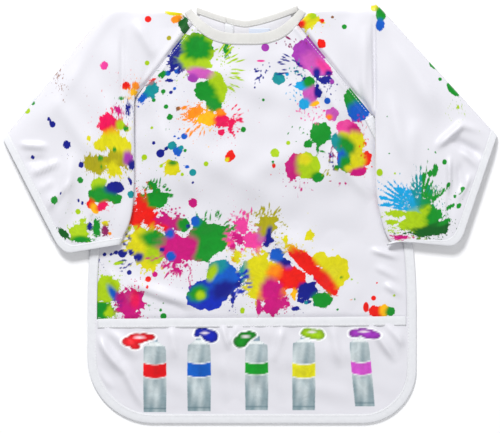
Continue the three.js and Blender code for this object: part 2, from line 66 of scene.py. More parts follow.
# --- Camera --------------------------------------------------------------------------------
# The smock lies on its back, so the camera looks straight down, with the neck at the top.
# A long lens a good way up keeps the outline as flat as the laid-out cloth.
VIEW_WIDTH, VIEW_MIDDLE, CLOTH_TOP = 0.525, -0.00315, 0.006
camera_data = bpy.data.cameras.new("camera_above")
camera_data.sensor_width = 36
camera_data.lens = 200
camera = bpy.data.objects.new("camera_above", camera_data)
camera.location = (0, VIEW_MIDDLE, VIEW_WIDTH * camera_data.lens / camera_data.sensor_width + CLOTH_TOP)
bpy.context.scene.collection.objects.link(camera)
bpy.context.scene.camera = camera

# --- Table and light -----------------------------------------------------------------------
# A plain white table, lit by a broad softbox from the upper left and a weaker one opposite.
# The sky is a pale even grey, so that no fold goes dark.
view = bpy.context.scene.view_settings
view.view_transform, view.look, view.exposure = "Standard", "None", 0


def linear(colour):
    """The linear RGBA of an sRGB hex colour."""
    parts = [int(colour[i : i + 2], 16) / 255 for i in (1, 3, 5)]
    return [p / 12.92 if p <= 0.04045 else ((p + 0.055) / 1.055) ** 2.4 for p in parts] + [1.0]


def node(tree, kind, settings=(), links=(), **sockets):
    """Adds a shader node, with its settings, its constant sockets and its linked sockets."""
    made = tree.nodes.new("ShaderNode" + kind)
    for name, value in dict(settings).items():
        setattr(made, name, value)
    for name, value in sockets.items():
        made.inputs[int(name[1]) if name in ("i0", "i1", "i2") else name].default_value = value
    for name, source in dict(links).items():
        tree.links.new(source, made.inputs[name])
    return made


def material(name):
    """A new material, with its node tree and its Principled shader."""
    made = bpy.data.materials.new(name)
    made.use_nodes = True
    return made, made.node_tree, made.node_tree.nodes["Principled BSDF"]


TABLE_GAP = 0.0004  # so that the lowest cloth doesn't lie in the table's face
bpy.ops.mesh.primitive_plane_add(size=6, location=(0, 0, -TABLE_GAP))
table = bpy.context.object
table.name = "table"
# Matt white laminate: diffuse, with hardly any gloss.
table_white, tree, shader = material("matt_white_laminate")
shader.inputs["Base Color"].default_value = linear("#FCFCFD")
shader.inputs["Roughness"].default_value = 0.9
shader.inputs["Specular IOR Level"].default_value = 0.1
table.data.materials.append(table_white)

LAMPS = [  # place, size and watts
    ("softbox_upper_left", (-0.7, 2.3, 2.2), 0.8, 88),
    ("softbox_right", (2.0, -1.7, 2.9), 1.8, 30),
]
for name, place, size, watts in LAMPS:
    lamp_data = bpy.data.lights.new(name, "AREA")
    lamp_data.shape = "SQUARE"
    lamp_data.size = size
    lamp_data.energy = watts
    lamp = bpy.data.objects.new(name, lamp_data)
    lamp.location = place
    aim = -lamp.location
    lamp.rotation_euler = aim.to_track_quat("-Z", "Y").to_euler()
    bpy.context.scene.collection.objects.link(lamp)
world = bpy.data.worlds.new("pale_room")
bpy.context.scene.world = world
world.use_nodes = True
sky = world.node_tree.nodes["Background"]
sky.inputs["Color"].default_value = linear("#F6F7FA")
sky.inputs["Strength"].default_value = 0.46

# --- Front panel ---------------------------------------------------------------------------
# One piece of thin polyester, satin-woven and coated, cut with rounded lower corners, a scooped
# neck and slanting raglan edges. A paint-splatter design is printed on its right side.
MM = 0.001
PANEL_Z = 0.8  # millimetres, as are all the sizes of the pattern pieces below
PLY = 0.3
BODY_LENGTH, HEM_WIDTH = 441, 345
CHEST_LOFT = 9.7  # the chest stands this far over the table, on the flaps and the neck band
NECK_MIDDLE, NECK_HALF, NECK_DEPTH, NECK_RISE, NECK_POWER = -5, 64, 43, 33.4, 3.1


def box_of(cad_node):
    """A node's lowest and highest corners, in millimetres."""
    return [np.array(corner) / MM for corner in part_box(cad_node)]


panel_low, panel_high = box_of("front_panel")
SHOULDER_Y = cad_box[0][1] / MM + BODY_LENGTH
LEFT = {
    "sign": -1, "x": panel_low[0], "radius": 68, "mouth": -111.5,
    "armpit": (-128.0, SHOULDER_Y - 107.5), "seam_x": -60,
}
RIGHT = {
    "sign": 1, "x": panel_high[0], "radius": 56, "mouth": -108.5,
    "armpit": (127.6, SHOULDER_Y - 116.0), "seam_x": 50,
}
MOUTH_AT, ARMPIT_AT = 0.3, 0.76  # shares of the panel's rows


def mix(a, b, t):
    return a + (b - a) * t


def smooth(x, start, end):
    t = np.clip((x - start) / (end - start), 0, 1)
    return t * t * (3 - 2 * t)


def neck_seam(t):
    """The front neckline, from its left end at -1 to its right end at 1."""
    return NECK_MIDDLE + NECK_HALF * t, SHOULDER_Y - NECK_DEPTH + NECK_RISE * np.abs(t) ** NECK_POWER


def raglan_top(side):
    """Where a raglan seam meets the neckline."""
    return np.array(neck_seam((side["seam_x"] - NECK_MIDDLE) / NECK_HALF))


def side_edge(side, v):
    """The cut edge of one side: round the corner, up past the pocket, in to the armpit and up
    the raglan seam."""
    foot, radius, sign = panel_low[1], side["radius"], side["sign"]
    low = np.clip(v / MOUTH_AT, 0, 1) ** 1.5
    y = foot + (side["mouth"] - foot) * low
    short = np.clip(radius - (y - foot), 0, radius)
    x = side["x"] - sign * (radius - np.sqrt(radius**2 - short**2))
    share = np.clip((v - MOUTH_AT) / (ARMPIT_AT - MOUTH_AT), 0, 1)
    above = v > MOUTH_AT
    x = np.where(above, mix(side["x"], side["armpit"][0], share**2.5), x)
    y = np.where(above, mix(side["mouth"], side["armpit"][1], share), y)
    rise = np.clip((v - ARMPIT_AT) / (1 - ARMPIT_AT), 0, 1)
    top = raglan_top(side)
    raglan = v > ARMPIT_AT
    x = np.where(raglan, mix(side["armpit"][0], top[0], rise), x)
    return x, np.where(raglan, mix(side["armpit"][1], top[1], rise), y)


def panel_place(u, v):
    """Where the panel's cloth lies in plan, across (u) and up (v) its grid."""
    (left_x, left_y), (right_x, right_y) = side_edge(LEFT, v), side_edge(RIGHT, v)
    x, y = mix(left_x, right_x, u), mix(left_y, right_y, u)
    ends = [(s["seam_x"] - NECK_MIDDLE) / NECK_HALF for s in (LEFT, RIGHT)]
    neck_x, neck_y = neck_seam(mix(ends[0], ends[1], u))
    dip = np.clip((v - 0.5) / 0.5, 0, 1) ** 3
    x = x + (neck_x - mix(LEFT["seam_x"], RIGHT["seam_x"], u)) * dip
    return x, y + (neck_y - neck_seam(ends[0])[1]) * dip


def panel_height(x, y):
    """The front stands over the back flaps at the chest, and lies on the table elsewhere."""
    return PANEL_Z + CHEST_LOFT * (1 - smooth(np.abs(x), 89.6, 125.6)) * smooth(y, -29.5, 70.5)


def along_line(x, y, start, end):
    """The distance from a line, and the share of it passed, for each point."""
    (ax, ay), (bx, by) = start, end
    length = math.hypot(bx - ax, by - ay)
    share = ((x - ax) * (bx - ax) + (y - ay) * (by - ay)) / length**2
    near = np.clip(share, 0, 1)
    return np.hypot(x - mix(ax, bx, near), y - mix(ay, by, near)), share, length


def folds(x, y, lines):
    """The rise and fall of soft folds. Each is (start, end, width, height)."""
    z = np.zeros_like(x)
    for start, end, width, height in lines:
        away, share, length = along_line(x, y, start, end)
        fade = smooth(share, -0.15, 0.3) * (1 - smooth(share, 0.7, 1.15))
        z += 1.35 * height * fade * np.exp(-((away / (0.85 * width)) ** 2))
    return z


def ripple(x, y, seed, size, height):
    """Broad, shallow unevenness of cloth that has been smoothed out by hand."""
    rng = np.random.RandomState(seed)
    z = np.zeros_like(x)
    for _ in range(7):
        turn, phase = rng.uniform(0, math.pi), rng.uniform(0, 2 * math.pi)
        wave = size * rng.uniform(0.6, 1.7)
        z += np.sin((x * math.cos(turn) + y * math.sin(turn)) * 2 * math.pi / wave + phase)
    return z * height / 3


PANEL_FOLDS = [
    ((-126, -74), (-58, -96), 8, 3.4), ((-120, -88), (-70, -104), 6, -1.6),
    ((128, -38), (160, -47), 4, 3.0), ((141, -74), (172, -92), 4.5, 3.4),
    ((132, -56), (160, -70), 5, 1.8), ((-150, -58), (-128, -92), 6, 2.4),
    ((-122, 66), (-134, -20), 5, 2.2), ((134, 44), (148, -30), 5, 2.6),
    ((56, 156), (106, 92), 8, 2.2), ((-62, 64), (24, 18), 15, 1.8),
    ((-34, 152), (34, 118), 16, 2.0), ((16, -16), (92, -62), 13, 1.8),
    ((82, 66), (130, 16), 9, 2.4), ((-20, 30), (60, 70), 14, 1.5), ((-96, 100), (-60, 20), 10, 1.6),
]


def raglan_dip(x, y, side):
    """The seam allowances pull the cloth down beside the raglan seam."""
    away = along_line(x, y, side["armpit"], raglan_top(side))[0]
    return -2.7 * np.exp(-((away / 2.0) ** 2)) + 1.0 * np.exp(-(((away - 4.6) / 2.5) ** 2))


def panel_surface(u, v):
    x, y = panel_place(u, v)
    inside = np.minimum(u, 1 - u) * HEM_WIDTH
    free = smooth(inside, 8, 30) * smooth(y, -112, -96) * smooth(1 - v, 0, 0.06)
    z = panel_height(x, y) + folds(x, y, PANEL_FOLDS) * free
    z = z + ripple(x, y, 4, 46, 0.8) * free
    z = z + raglan_dip(x, y, LEFT) + raglan_dip(x, y, RIGHT)
    return x, y, np.maximum(z, PANEL_Z - 0.1) + PLY


def point_places(mesh):
    """The places of a mesh's points, in the mesh's own unit."""
    co = np.empty(len(mesh.vertices) * 3)
    mesh.vertices.foreach_get("co", co)
    return co.reshape(-1, 3)


def cloth_grid(name, across, up, surface, *finishes):
    """A sheet on a grid primitive, laid on a surface, with its UV map in metres and its finishes:
    the right side's first, and then the wrong side's."""
    bpy.ops.mesh.primitive_grid_add(x_subdivisions=across, y_subdivisions=up, size=2)
    piece = bpy.context.object
    piece.name = name
    mesh = piece.data
    co = point_places(mesh)
    u, v = (co[:, 0] + 1) / 2, (co[:, 1] + 1) / 2
    place = np.stack(surface(u, v), 1) * MM
    mesh.vertices.foreach_set("co", place.ravel())
    layer = mesh.uv_layers[0]
    layer.name = "cloth"
    corners = np.empty(len(mesh.loops), int)
    mesh.loops.foreach_get("vertex_index", corners)
    layer.data.foreach_set("uv", place[corners, :2].ravel())
    mesh.update()
    if mesh.polygons[len(mesh.polygons) // 2].normal.z < 0:
        mesh.flip_normals()
    bpy.ops.object.shade_smooth()
    for finish in finishes:
        mesh.materials.append(finish)
    return piece


def wall(piece, thickness=PLY, offset=-1):
    """Gives a sheet its thickness. Its inner face takes the second material, if it has one."""
    solid = piece.modifiers.new("thickness", "SOLIDIFY")
    solid.thickness = thickness * MM
    solid.offset = offset
    solid.use_even_offset = False
    solid.material_offset = len(piece.data.materials) - 1
    bpy.ops.object.select_all(action="DESELECT")
    bpy.context.view_layer.objects.active = piece
    piece.select_set(True)
    bpy.ops.object.modifier_apply(modifier=solid.name)
    bpy.ops.object.select_all(action="DESELECT")


INKS = {
    "green": "#128A26", "forest": "#08581A", "lime": "#A6C81C", "yellow": "#D8D030",
    "olive": "#A8A01C", "orange": "#F58A1E", "amber": "#F8B826", "red": "#E61E16",
    "rose": "#E81E58", "magenta": "#C42078", "pink": "#E8509C", "purple": "#A040A8",
    "navy": "#0A1684", "royal": "#0628B0", "blue": "#1458BE", "cyan": "#20A0D8",
    "teal": "#1C8C92", "orchid": "#C65CB2", "plum": "#8A2A60", "brown": "#8A5A3A",
    "coral": "#F46A5A",
}


def full(ink, x, y, wide, tall=None, ragged=0, turn=0):
    """A stroke with all its values. A drop that says no more is round."""
    return ink, x, y, wide, wide if tall is None else tall, ragged, turn


def flung_drops(strokes, seed):
    """The long drops and specks that are thrown out round each burst, most of them close in."""
    rng = np.random.RandomState(seed + 90)
    made = []
    for colour, px, py, rx, ry, ragged, _ in strokes:
        size = math.sqrt(rx * ry)
        if ragged < 2 or size < 3:
            continue
        fewest, more = (3, 0.5) if ragged == 2 else (9, 1.1)
        for _ in range(int(fewest + size * more)):
            way = rng.uniform(0, 2 * math.pi)
            out = 1.02 + abs(rng.normal(0, 0.42))
            x, y = px + out * rx * math.cos(way) * 1.05, py + out * ry * math.sin(way) * 1.05
            wide = rng.uniform(0.55, 1.25) * min(1, 0.45 + 0.05 * size) / out**0.5
            long = wide * rng.uniform(1.0, 3.4)
            heading = math.degrees(math.atan2(y - py, x - px)) + rng.normal(0, 12)
            made.append((colour, x, y, long, wide, 1 if wide > 0.9 else 0, heading))
    return made


def store(mesh, edge, rough, spray, ink):
    """Keeps a print on the points: the distance from its outline, its raggedness and its ink."""
    for name, values in (("edge", edge), ("rough", rough), ("spray", spray)):
        attribute = mesh.attributes.new(name, "FLOAT", "POINT")
        attribute.data.foreach_set("value", values.astype(np.float32))
    attribute = mesh.attributes.new("ink", "FLOAT_COLOR", "POINT")
    attribute.data.foreach_set("color", ink.astype(np.float32).ravel())


FAR = 60.0  # millimetres: further from any print than it can matter
BARE = linear("#F0EFF3")
SWINGS = [0.0, 0.05, 0.06, 0.075]  # how far the lobes of an outline swing, by raggedness
SPRAYS = [0, 0, 0.3, 0.55]  # how thick the fine spray round it is, by raggedness


def paint(piece, strokes, seed=1, x=None, y=None):
    """Lays a print on a sheet, as attributes of its points. Each stroke is an ink, a place, two
    half-widths, how ragged it is, from 0 (a drop) to 3 (a burst), and a turn in degrees."""
    strokes = [full(*stroke) for stroke in strokes]
    co = point_places(piece.data) / MM
    x = co[:, 0] if x is None else x
    y = co[:, 1] if y is None else y
    rng = np.random.RandomState(seed)
    edge, rough, spray = np.full(len(x), FAR), np.zeros(len(x)), np.zeros(len(x))
    ink = np.tile(np.array(BARE), (len(x), 1))
    flow_x, flow_y = (
        start
        + 2.6 * ripple(x, y, seed + first, 22, 3.0) / 3
        + 1.2 * ripple(x, y, seed + first + 1, 8, 3.0) / 3
        for start, first in ((x, 50), (y, 52))
    )
    for colour, px, py, rx, ry, ragged, turn in flung_drops(strokes, seed) + strokes:
        lobes = [(k, rng.uniform(0, 2 * math.pi), rng.uniform(0.4, 1)) for k in (2, 3, 5, 7, 11, 16)]
        reach = max(rx, ry) * 1.6 + (34 if ragged > 1 else 6)
        near = np.nonzero((np.abs(x - px) < reach) & (np.abs(y - py) < reach))[0]
        if not len(near):
            continue
        size = min(rx, ry)
        large = size > 4.5 and ragged > 1
        dx, dy = (flow_x if large else x)[near] - px, (flow_y if large else y)[near] - py
        c, s = math.cos(math.radians(turn)), math.sin(math.radians(turn))
        qx, qy = (dx * c + dy * s) / rx, (-dx * s + dy * c) / ry
        angle = np.arctan2(qy, qx)
        wobble = 1 + sum(
            SWINGS[ragged] * weight * np.sin(k * angle + phase)
            for k, phase, weight in lobes
            if size * 1.2 > k or ragged > 1 and size > 5
        )
        distance = (np.hypot(qx, qy) - wobble) * size
        soft = 0.8 if ragged == 0 else min(11.0, 1.2 + 0.75 * size)
        cover = np.clip(0.5 - distance / soft, 0, 1)
        cover = cover * cover * (3 - 2 * cover)
        old = edge[near]
        claim = np.where(old < 0, cover, np.maximum(cover, (distance < old) * 1.0))
        if ragged == 0:
            claim = np.where(distance < old, 1.0, cover)
        claim = claim[:, None]
        ink[near] = ink[near] * (1 - claim) + np.array(linear(INKS[colour])) * claim
        rough[near] = np.where(distance < old, ragged / 3, rough[near])
        edge[near] = np.minimum(old, distance)
        if ragged > 1:
            fall = 3.0 + 2.6 * (ragged - 1) + 0.16 * size
            mist = SPRAYS[ragged] * np.exp(-np.clip(distance, 0, FAR) / fall)
            spray[near] = np.maximum(spray[near], mist)
    store(piece.data, edge, rough, spray, ink)


def weave(tree, threads_per_metre, depth):
    """A bump of crossing threads on the cloth's own UV map."""
    place = node(tree, "UVMap", {"uv_map": "cloth"}).outputs["UV"]
    heights = []
    for direction in ("X", "Y"):
        wave = node(
            tree, "TexWave", {"wave_type": "BANDS", "bands_direction": direction},
            {"Vector": place}, Scale=threads_per_metre / 3.1416, Distortion=0.6, Detail=1.0,
        )
        heights.append(wave.outputs["Fac"])
    crossed = node(tree, "Math", {"operation": "MULTIPLY"}, {0: heights[0], 1: heights[1]})
    return node(
        tree, "Bump", (), {"Height": crossed.outputs[0]}, Strength=0.35, Distance=depth
    )


# Coated satin-weave polyester, roller-printed: a cool white ground with a soft silky gloss.
# The threads are 0.15 mm apart, which is too fine to show, so they are drawn 0.8 mm apart.
printed, tree, shader = material("coated_satin_polyester_printed")
ink = node(tree, "Attribute", {"attribute_name": "ink"})
edge = node(tree, "Attribute", {"attribute_name": "edge"})
rough = node(tree, "Attribute", {"attribute_name": "rough"})
spray = node(tree, "Attribute", {"attribute_name": "spray"})
uv = node(tree, "UVMap", {"uv_map": "cloth"}).outputs["UV"]
ragged = node(tree, "TexNoise", (), {"Vector": uv}, Scale=280.0, Detail=5.0, Roughness=0.66)
reach = node(tree, "Math", {"operation": "MULTIPLY_ADD"}, {0: rough.outputs["Fac"]}, i1=10.5, i2=0.8)
shift = node(tree, "Math", {"operation": "SUBTRACT"}, {0: ragged.outputs["Fac"]}, i1=0.5)
shift = node(tree, "Math", {"operation": "MULTIPLY"}, {0: shift.outputs[0], 1: reach.outputs[0]})
outline = node(tree, "Math", {"operation": "ADD"}, {0: edge.outputs["Fac"], 1: shift.outputs[0]})
covered = node(
    tree, "MapRange", {"interpolation_type": "SMOOTHSTEP"}, {"Value": outline.outputs[0]},
    **{"From Min": 0.35, "From Max": -0.35, "To Min": 0.0, "To Max": 1.0},
)
masks = [covered.outputs["Result"]]
for drops_per_metre, share in ((230.0, 0.62), (520.0, 0.9)):  # drops of about 1.5 and 0.6 mm
    cells = node(tree, "TexVoronoi", (), {"Vector": uv}, Scale=drops_per_metre)
    chance = node(tree, "SeparateColor", (), {"Color": cells.outputs["Color"]})
    room = node(
        tree, "Math", {"operation": "MULTIPLY_ADD"}, {0: spray.outputs["Fac"]}, i1=share, i2=0.0
    )
    room = node(tree, "Math", {"operation": "SUBTRACT"}, {0: room.outputs[0], 1: chance.outputs["Red"]})
    size = node(tree, "Math", {"operation": "MULTIPLY"}, {0: room.outputs[0]}, i1=0.9)
    drop = node(
        tree, "Math", {"operation": "SUBTRACT"}, {0: size.outputs[0], 1: cells.outputs["Distance"]}
    )
    dropped = node(
        tree, "MapRange", {"interpolation_type": "SMOOTHSTEP"}, {"Value": drop.outputs[0]},
        **{"From Min": -0.3, "From Max": 0.0},
    )
    allowed = node(tree, "Math", {"operation": "GREATER_THAN"}, {0: room.outputs[0]}, i1=0.0)
    masks.append(
        node(
            tree, "Math", {"operation": "MULTIPLY"},
            {0: dropped.outputs["Result"], 1: allowed.outputs[0]},
        ).outputs[0]
    )
inked = masks[0]
for mask in masks[1:]:
    inked = node(tree, "Math", {"operation": "MAXIMUM"}, {0: inked, 1: mask}).outputs[0]
streak = node(tree, "TexNoise", (), {"Vector": uv}, Scale=90.0, Detail=6.0, Roughness=0.7, Distortion=1.5)
value = node(
    tree, "MapRange", (), {"Value": streak.outputs["Fac"]},
    **{"From Min": 0.3, "From Max": 0.7, "To Min": 0.86, "To Max": 1.14},
)
tinted = node(
    tree, "HueSaturation", (), {"Color": ink.outputs["Color"], "Value": value.outputs["Result"]},
    Saturation=1.05,
)
base = node(
    tree, "Mix", {"data_type": "RGBA"},
    {"Factor": inked, "B": tinted.outputs["Color"]}, A=linear("#E0DFE5"),
)
tree.links.new(base.outputs["Result"], shader.inputs["Base Color"])
shader.inputs["Roughness"].default_value = 0.36
shader.inputs["Specular IOR Level"].default_value = 0.35
shader.inputs["Sheen Weight"].default_value = 0.06
shader.inputs["Sheen Roughness"].default_value = 0.4
tree.links.new(weave(tree, 1250.0, 0.00008).outputs["Normal"], shader.inputs["Normal"])

# The uncoated wrong side of the same polyester: matt white, with no print on it.
lining, tree, shader = material("satin_polyester_wrong_side")
shader.inputs["Base Color"].default_value = linear("#E4E3E8")
shader.inputs["Roughness"].default_value = 0.72
shader.inputs["Sheen Weight"].default_value = 0.1
tree.links.new(weave(tree, 1250.0, 0.00008).outputs["Normal"], shader.inputs["Normal"])

PRINT = [  # ink, middle, half-widths, raggedness, turn, in the order they are laid down
    ("navy", -72, 167, 9, 19, 2), ("navy", -78, 164, 6, 13, 1, -15), ("lime", -57, 170, 18, 20, 2),
    ("green", -55, 174, 15, 15, 1, 20), ("lime", -49, 156, 9, 6, 1),
    ("orchid", -50, 147, 16, 5.5, 1, -10), ("purple", -60, 142, 5, 5, 1),
    ("orange", -56, 107, 10, 6, 3, 20), ("amber", -44, 99, 10, 8, 3), ("lime", -34, 132, 9, 17, 1, 10),
    ("green", -47, 128, 12, 10, 1, -30), ("green", -38, 115, 8.5, 8, 1, -30), ("rose", -29, 98, 8, 8, 3),
    ("orange", -31, 106, 5, 3.5, 1), ("rose", -30, 85, 3.5, 3.5, 1), ("rose", -20, 95, 4, 5, 3),
    ("blue", -86, 147, 3), ("blue", -77, 149, 2.5), ("navy", -84, 139.5, 5, 1.8, 1),
    ("navy", -83, 127, 2), ("blue", -79, 131, 1.8), ("green", -91, 128, 2.5), ("green", -101, 119, 2.2),
    ("green", -92, 146, 5, 3, 2, 50), ("red", -104, 137, 6, 2.6, 2, 51), ("teal", -106, 129, 8, 5, 2, 51),
    ("blue", -113, 121, 6, 3.5, 2, 51), ("brown", -125, 111, 4, 3, 2, 51),
    ("green", -84, 101, 3.2, 3.2, 1), ("green", -88, 112, 2.5), ("brown", -75.5, 110, 2.3),
    ("lime", -103, 90, 1.8), ("green", -88, 88, 1.2), ("blue", -69, 81, 3.3), ("blue", -75, 79, 1.5),
    ("blue", -79, 81, 1.4), ("teal", -81.5, 71, 4.6, 4.6, 1), ("blue", -76, 65, 4.9, 4.9, 1),
    ("teal", -72, 69, 2.6), ("navy", -94, 63, 4.4), ("navy", -88, 68, 2), ("navy", -101, 74, 2),
    ("green", -68, 66, 1.9), ("lime", -111, 59, 3.2), ("yellow", -81, 48, 7.6, 7.6, 2),
    ("green", -81, 53, 4.5, 2.5, 1), ("lime", -93, 50, 2), ("lime", -71, 41, 2), ("lime", -46, 52, 2.7),
    ("blue", -66, 49, 2.7, 1.8), ("teal", -60, 43, 3.8), ("navy", -60, 32.5, 1.6),
    ("red", -21, 60, 5, 6.6, 1, -20), ("yellow", -24, 56, 2.6, 2.2), ("green", -7, 88, 2.9),
    ("magenta", -60, 11, 4.8, 4.8, 1), ("red", -108, 6, 8, 15, 3, 20), ("red", -120, -4, 6, 11, 3),
    ("red", -102, -9, 11, 7, 2, -20), ("green", -99, 17, 11.5, 11, 2), ("lime", -119, -16, 6, 5, 3),
    ("magenta", -88, -9, 11, 9, 3), ("magenta", -75, -11, 7, 7, 1), ("yellow", -112, -30, 18, 15, 2),
    ("yellow", -105, -47, 12, 12, 3), ("lime", -100, -41, 10, 12, 1), ("green", -100, -27, 15, 9, 1, -15),
    ("red", -86, -20, 9, 5, 2, -20), ("magenta", -80, -37, 16, 14, 2), ("magenta", -60, -36, 10, 16, 2),
    ("green", -42, -26, 19, 19, 2), ("green", -50, -42, 12, 9, 1), ("magenta", -64, -36, 8, 13, 1, -20),
    ("green", -70, -12, 7, 7, 1), ("blue", -84, -21, 5, 5, 1), ("blue", -83, -45, 5),
    ("navy", -93, -38, 2.9), ("blue", -57, -8, 5.3, 5.3, 1), ("navy", -65, -13, 2.2),
    ("navy", -134, -42, 4.5), ("navy", -117, -46, 5, 5, 1), ("navy", -153, -43, 2.2),
    ("navy", -146, -43, 1.8), ("navy", -141, -41, 2.3), ("navy", -125, -41, 2.8),
    ("navy", -127, -62, 2.7), ("navy", -159, -49.5, 1.2, 2.5), ("lime", -138, -52, 6, 2, 1, 20),
    ("red", -107, -69, 3.2), ("red", -108, -77, 1.8), ("magenta", -100, -64, 3),
    ("magenta", -78, -59, 5, 2.5, 3), ("lime", -151, -80, 14, 12, 3), ("green", -155, -103, 14, 9, 3),
    ("lime", -147, -103, 5, 7, 2, 20), ("blue", -143, -85, 11, 4, 2, -55),
    ("navy", -133, -97, 12, 4.5, 2, -55), ("magenta", -126, -96, 13, 18, 3),
    ("rose", -121, -90, 5, 10, 1), ("green", -106, -97, 2.4, 1.2), ("green", -94, -101.5, 1.8),
    ("green", -91, -108, 3.4), ("royal", -46, -86, 21, 16, 1), ("blue", -27, -68, 15, 18, 1),
    ("navy", -28, -80, 13, 9, 1, 20), ("teal", -34, -56, 11, 7, 1, 20), ("lime", -40, -62, 5, 9, 1, -20),
    ("green", -55, -84, 11, 8, 1, 20), ("lime", -52, -86, 5, 4.5, 1), ("navy", -12, -74, 6, 3, 3, 30),
    ("navy", -18, -90, 2, 8, 1), ("red", 0, -67, 3.6), ("red", -16.5, -48, 2.2, 3.5),
    ("coral", -20.5, -31, 3.8), ("yellow", -14, -44, 6, 5, 3), ("pink", 2, -28, 9, 9, 3),
    ("magenta", -12, -26, 5, 5, 3), ("pink", -8, -14, 5, 8, 3), ("magenta", -18, -34, 3, 4, 3),
    ("pink", -22, -18, 3, 3, 3), ("teal", -5, -61, 6, 9, 3), ("lime", -8, -102, 3, 3, 1),
    ("pink", 9, -30, 7, 13, 2), ("orchid", 12, -22, 5, 9, 1), ("olive", 18, -14, 13, 11, 2),
    ("yellow", 34, -27, 5, 5, 2), ("yellow", 46, -38, 9, 4, 3, -30), ("navy", 21, -26, 5, 11, 2),
    ("navy", 36, -53, 7, 6, 1), ("blue", 28, -44, 7.6, 7.6, 1), ("blue", 41, -58, 4.2),
    ("yellow", 89, -61.5, 16, 17, 1, -20), ("yellow", 74, -48, 8, 8, 1), ("yellow", 12, -62, 16, 20, 2),
    ("yellow", 6, -82, 9, 10, 3), ("orange", 27, -62, 9, 9, 1), ("red", 44, -68, 14, 12, 1),
    ("red", 57, -50, 20, 8, 1, -42), ("red", 78, -70, 22, 7, 1, -48), ("orange", 24, -84, 14, 7, 1),
    ("magenta", 22, -80, 11, 13, 1), ("magenta", 26, -94, 12, 8, 3), ("magenta", 9, -98, 2.5, 10, 1),
    ("magenta", 24, -100, 4, 9, 1), ("amber", 46, -84, 5, 5, 2), ("green", 96, -67.5, 1.4),
    ("navy", 61, -82, 9, 11, 2, -15), ("green", 76, -91, 11, 8, 1), ("navy", 48, -100, 5, 2.5, 1),
    ("navy", 56, -92, 2), ("teal", 59, -94, 1.8), ("yellow", 63, -24, 5, 5, 2), ("red", 130, -89, 2.7),
    ("red", 122, -98.5, 3, 5.5), ("red", 133, -103, 8, 6.5, 1), ("amber", 141, -102, 5, 6.5, 1),
    ("green", 147.5, -103, 5, 5, 1), ("lime", 113, -73, 1), ("red", 133.5, -73, 1.1),
    ("lime", 107, -69.5, 1.5), ("lime", 151.5, -86, 1.6), ("orange", 106, -90.5, 1.2),
    ("green", 110, -90, 1.3), ("green", 92, -101, 1.5), ("purple", 16, 174, 4.2),
    ("pink", 11.5, 160, 4.5, 1.2), ("navy", 7.5, 149, 3, 1, 0, 20), ("navy", 8.6, 142, 4.5, 1, 0, 30),
    ("navy", 31, 159, 2.7, 0.8), ("plum", 40, 184, 3.5, 1.2, 0, -30), ("green", -25, 171, 3, 6, 3),
    ("teal", 30, 141.5, 6.6, 6.6, 1), ("purple", 62, 168, 17, 17, 1), ("purple", 66, 180, 10, 10, 1),
    ("orchid", 68, 157, 15, 11, 1, -45), ("pink", 78, 153, 11, 5, 1, -45), ("navy", 70, 147, 4, 6, 2),
    ("navy", 80, 141, 5, 4, 2), ("navy", 82.5, 147, 4, 3, 1), ("navy", 76, 138.5, 6, 2.5, 1, -20),
    ("purple", 86, 138, 2.5), ("orchid", 63, 125, 8, 11, 1), ("navy", 70, 128, 3, 7, 2),
    ("cyan", 54, 134, 7, 4.5, 1), ("green", 61.5, 138, 6.5, 5.5, 1), ("cyan", 39, 146, 2),
    ("cyan", 57, 115, 6, 6, 1), ("navy", 72.5, 126, 2.5, 5), ("amber", 68, 115, 5, 2.6, 1, 20),
    ("orchid", 86, 104, 7, 7, 1), ("orange", 83, 101, 3.4, 3, 1), ("blue", 81, 118, 3.4),
    ("navy", 5, 132, 1.1), ("green", 14, 119, 1.6), ("green", 108, 118, 9.5, 13, 1, 15),
    ("blue", 114, 107, 12, 10.5, 1), ("green", 74, 84, 11.5, 11.5, 1), ("green", 61, 73, 5, 4, 1, 20),
    ("green", 71, 70, 1.6, 7, 1), ("green", 76, 65, 4, 1.2, 0, -20), ("pink", 101, 90, 11, 8, 1, 10),
    ("magenta", 110, 87, 7, 6, 1, -40), ("yellow", 110, 75, 11, 11, 1), ("yellow", 98, 81, 6, 5, 1),
    ("teal", 92, 74, 6.5, 10, 1, 20), ("green", 102, 69, 8, 13, 1, 30), ("blue", 97, 57, 6, 9, 1),
    ("red", 122, 58, 6, 8, 1), ("yellow", 113, 56, 8, 11, 1), ("green", 100, 52, 6, 9, 1),
    ("yellow", 104, 47, 5, 4, 1), ("magenta", 114, 44, 10, 4.5, 1, 15),
    ("magenta", 48, 50, 11, 13, 1, -20), ("magenta", 44, 38, 4, 3.4, 2), ("lime", 61, 50, 12.5, 14, 1),
    ("yellow", 57, 57, 7, 6, 1), ("green", 71, 38, 6.6, 5.2, 1), ("lime", 26, 63.5, 4.7, 4.7, 1),
    ("lime", 40, 74, 2.3), ("red", 25, 50, 2, 2.6), ("green", 24, 54, 1.6), ("green", 91, 48, 2.8),
]
STREAK_FANS = [  # ink, the burst's middle, nearest and furthest reach, from and to which way, how many
    ("magenta", -72, -38, 17, 36, 190, 300, 34), ("navy", -112, -48, 14, 30, 120, 215, 12),
    ("green", -99, 17, 12, 19, 0, 150, 20), ("red", -108, 6, 12, 24, 95, 250, 22),
    ("olive", 18, -14, 12, 24, 40, 150, 24), ("pink", -2, -20, 11, 26, 80, 220, 30),
    ("green", -42, -26, 20, 29, 20, 120, 18), ("yellow", -112, -32, 18, 27, 130, 200, 8),
    ("royal", -30, -72, 17, 30, -60, 30, 20), ("orange", -47, 104, 13, 26, 150, 270, 24),
    ("rose", -27, 98, 9, 20, -70, 60, 22), ("lime", -44, 150, 22, 36, -40, 60, 24),
    ("navy", -62, 160, 14, 26, 120, 230, 18), ("magenta", 22, -86, 12, 20, 230, 320, 12),
    ("navy", 66, 152, 14, 34, 150, 230, 16),
]
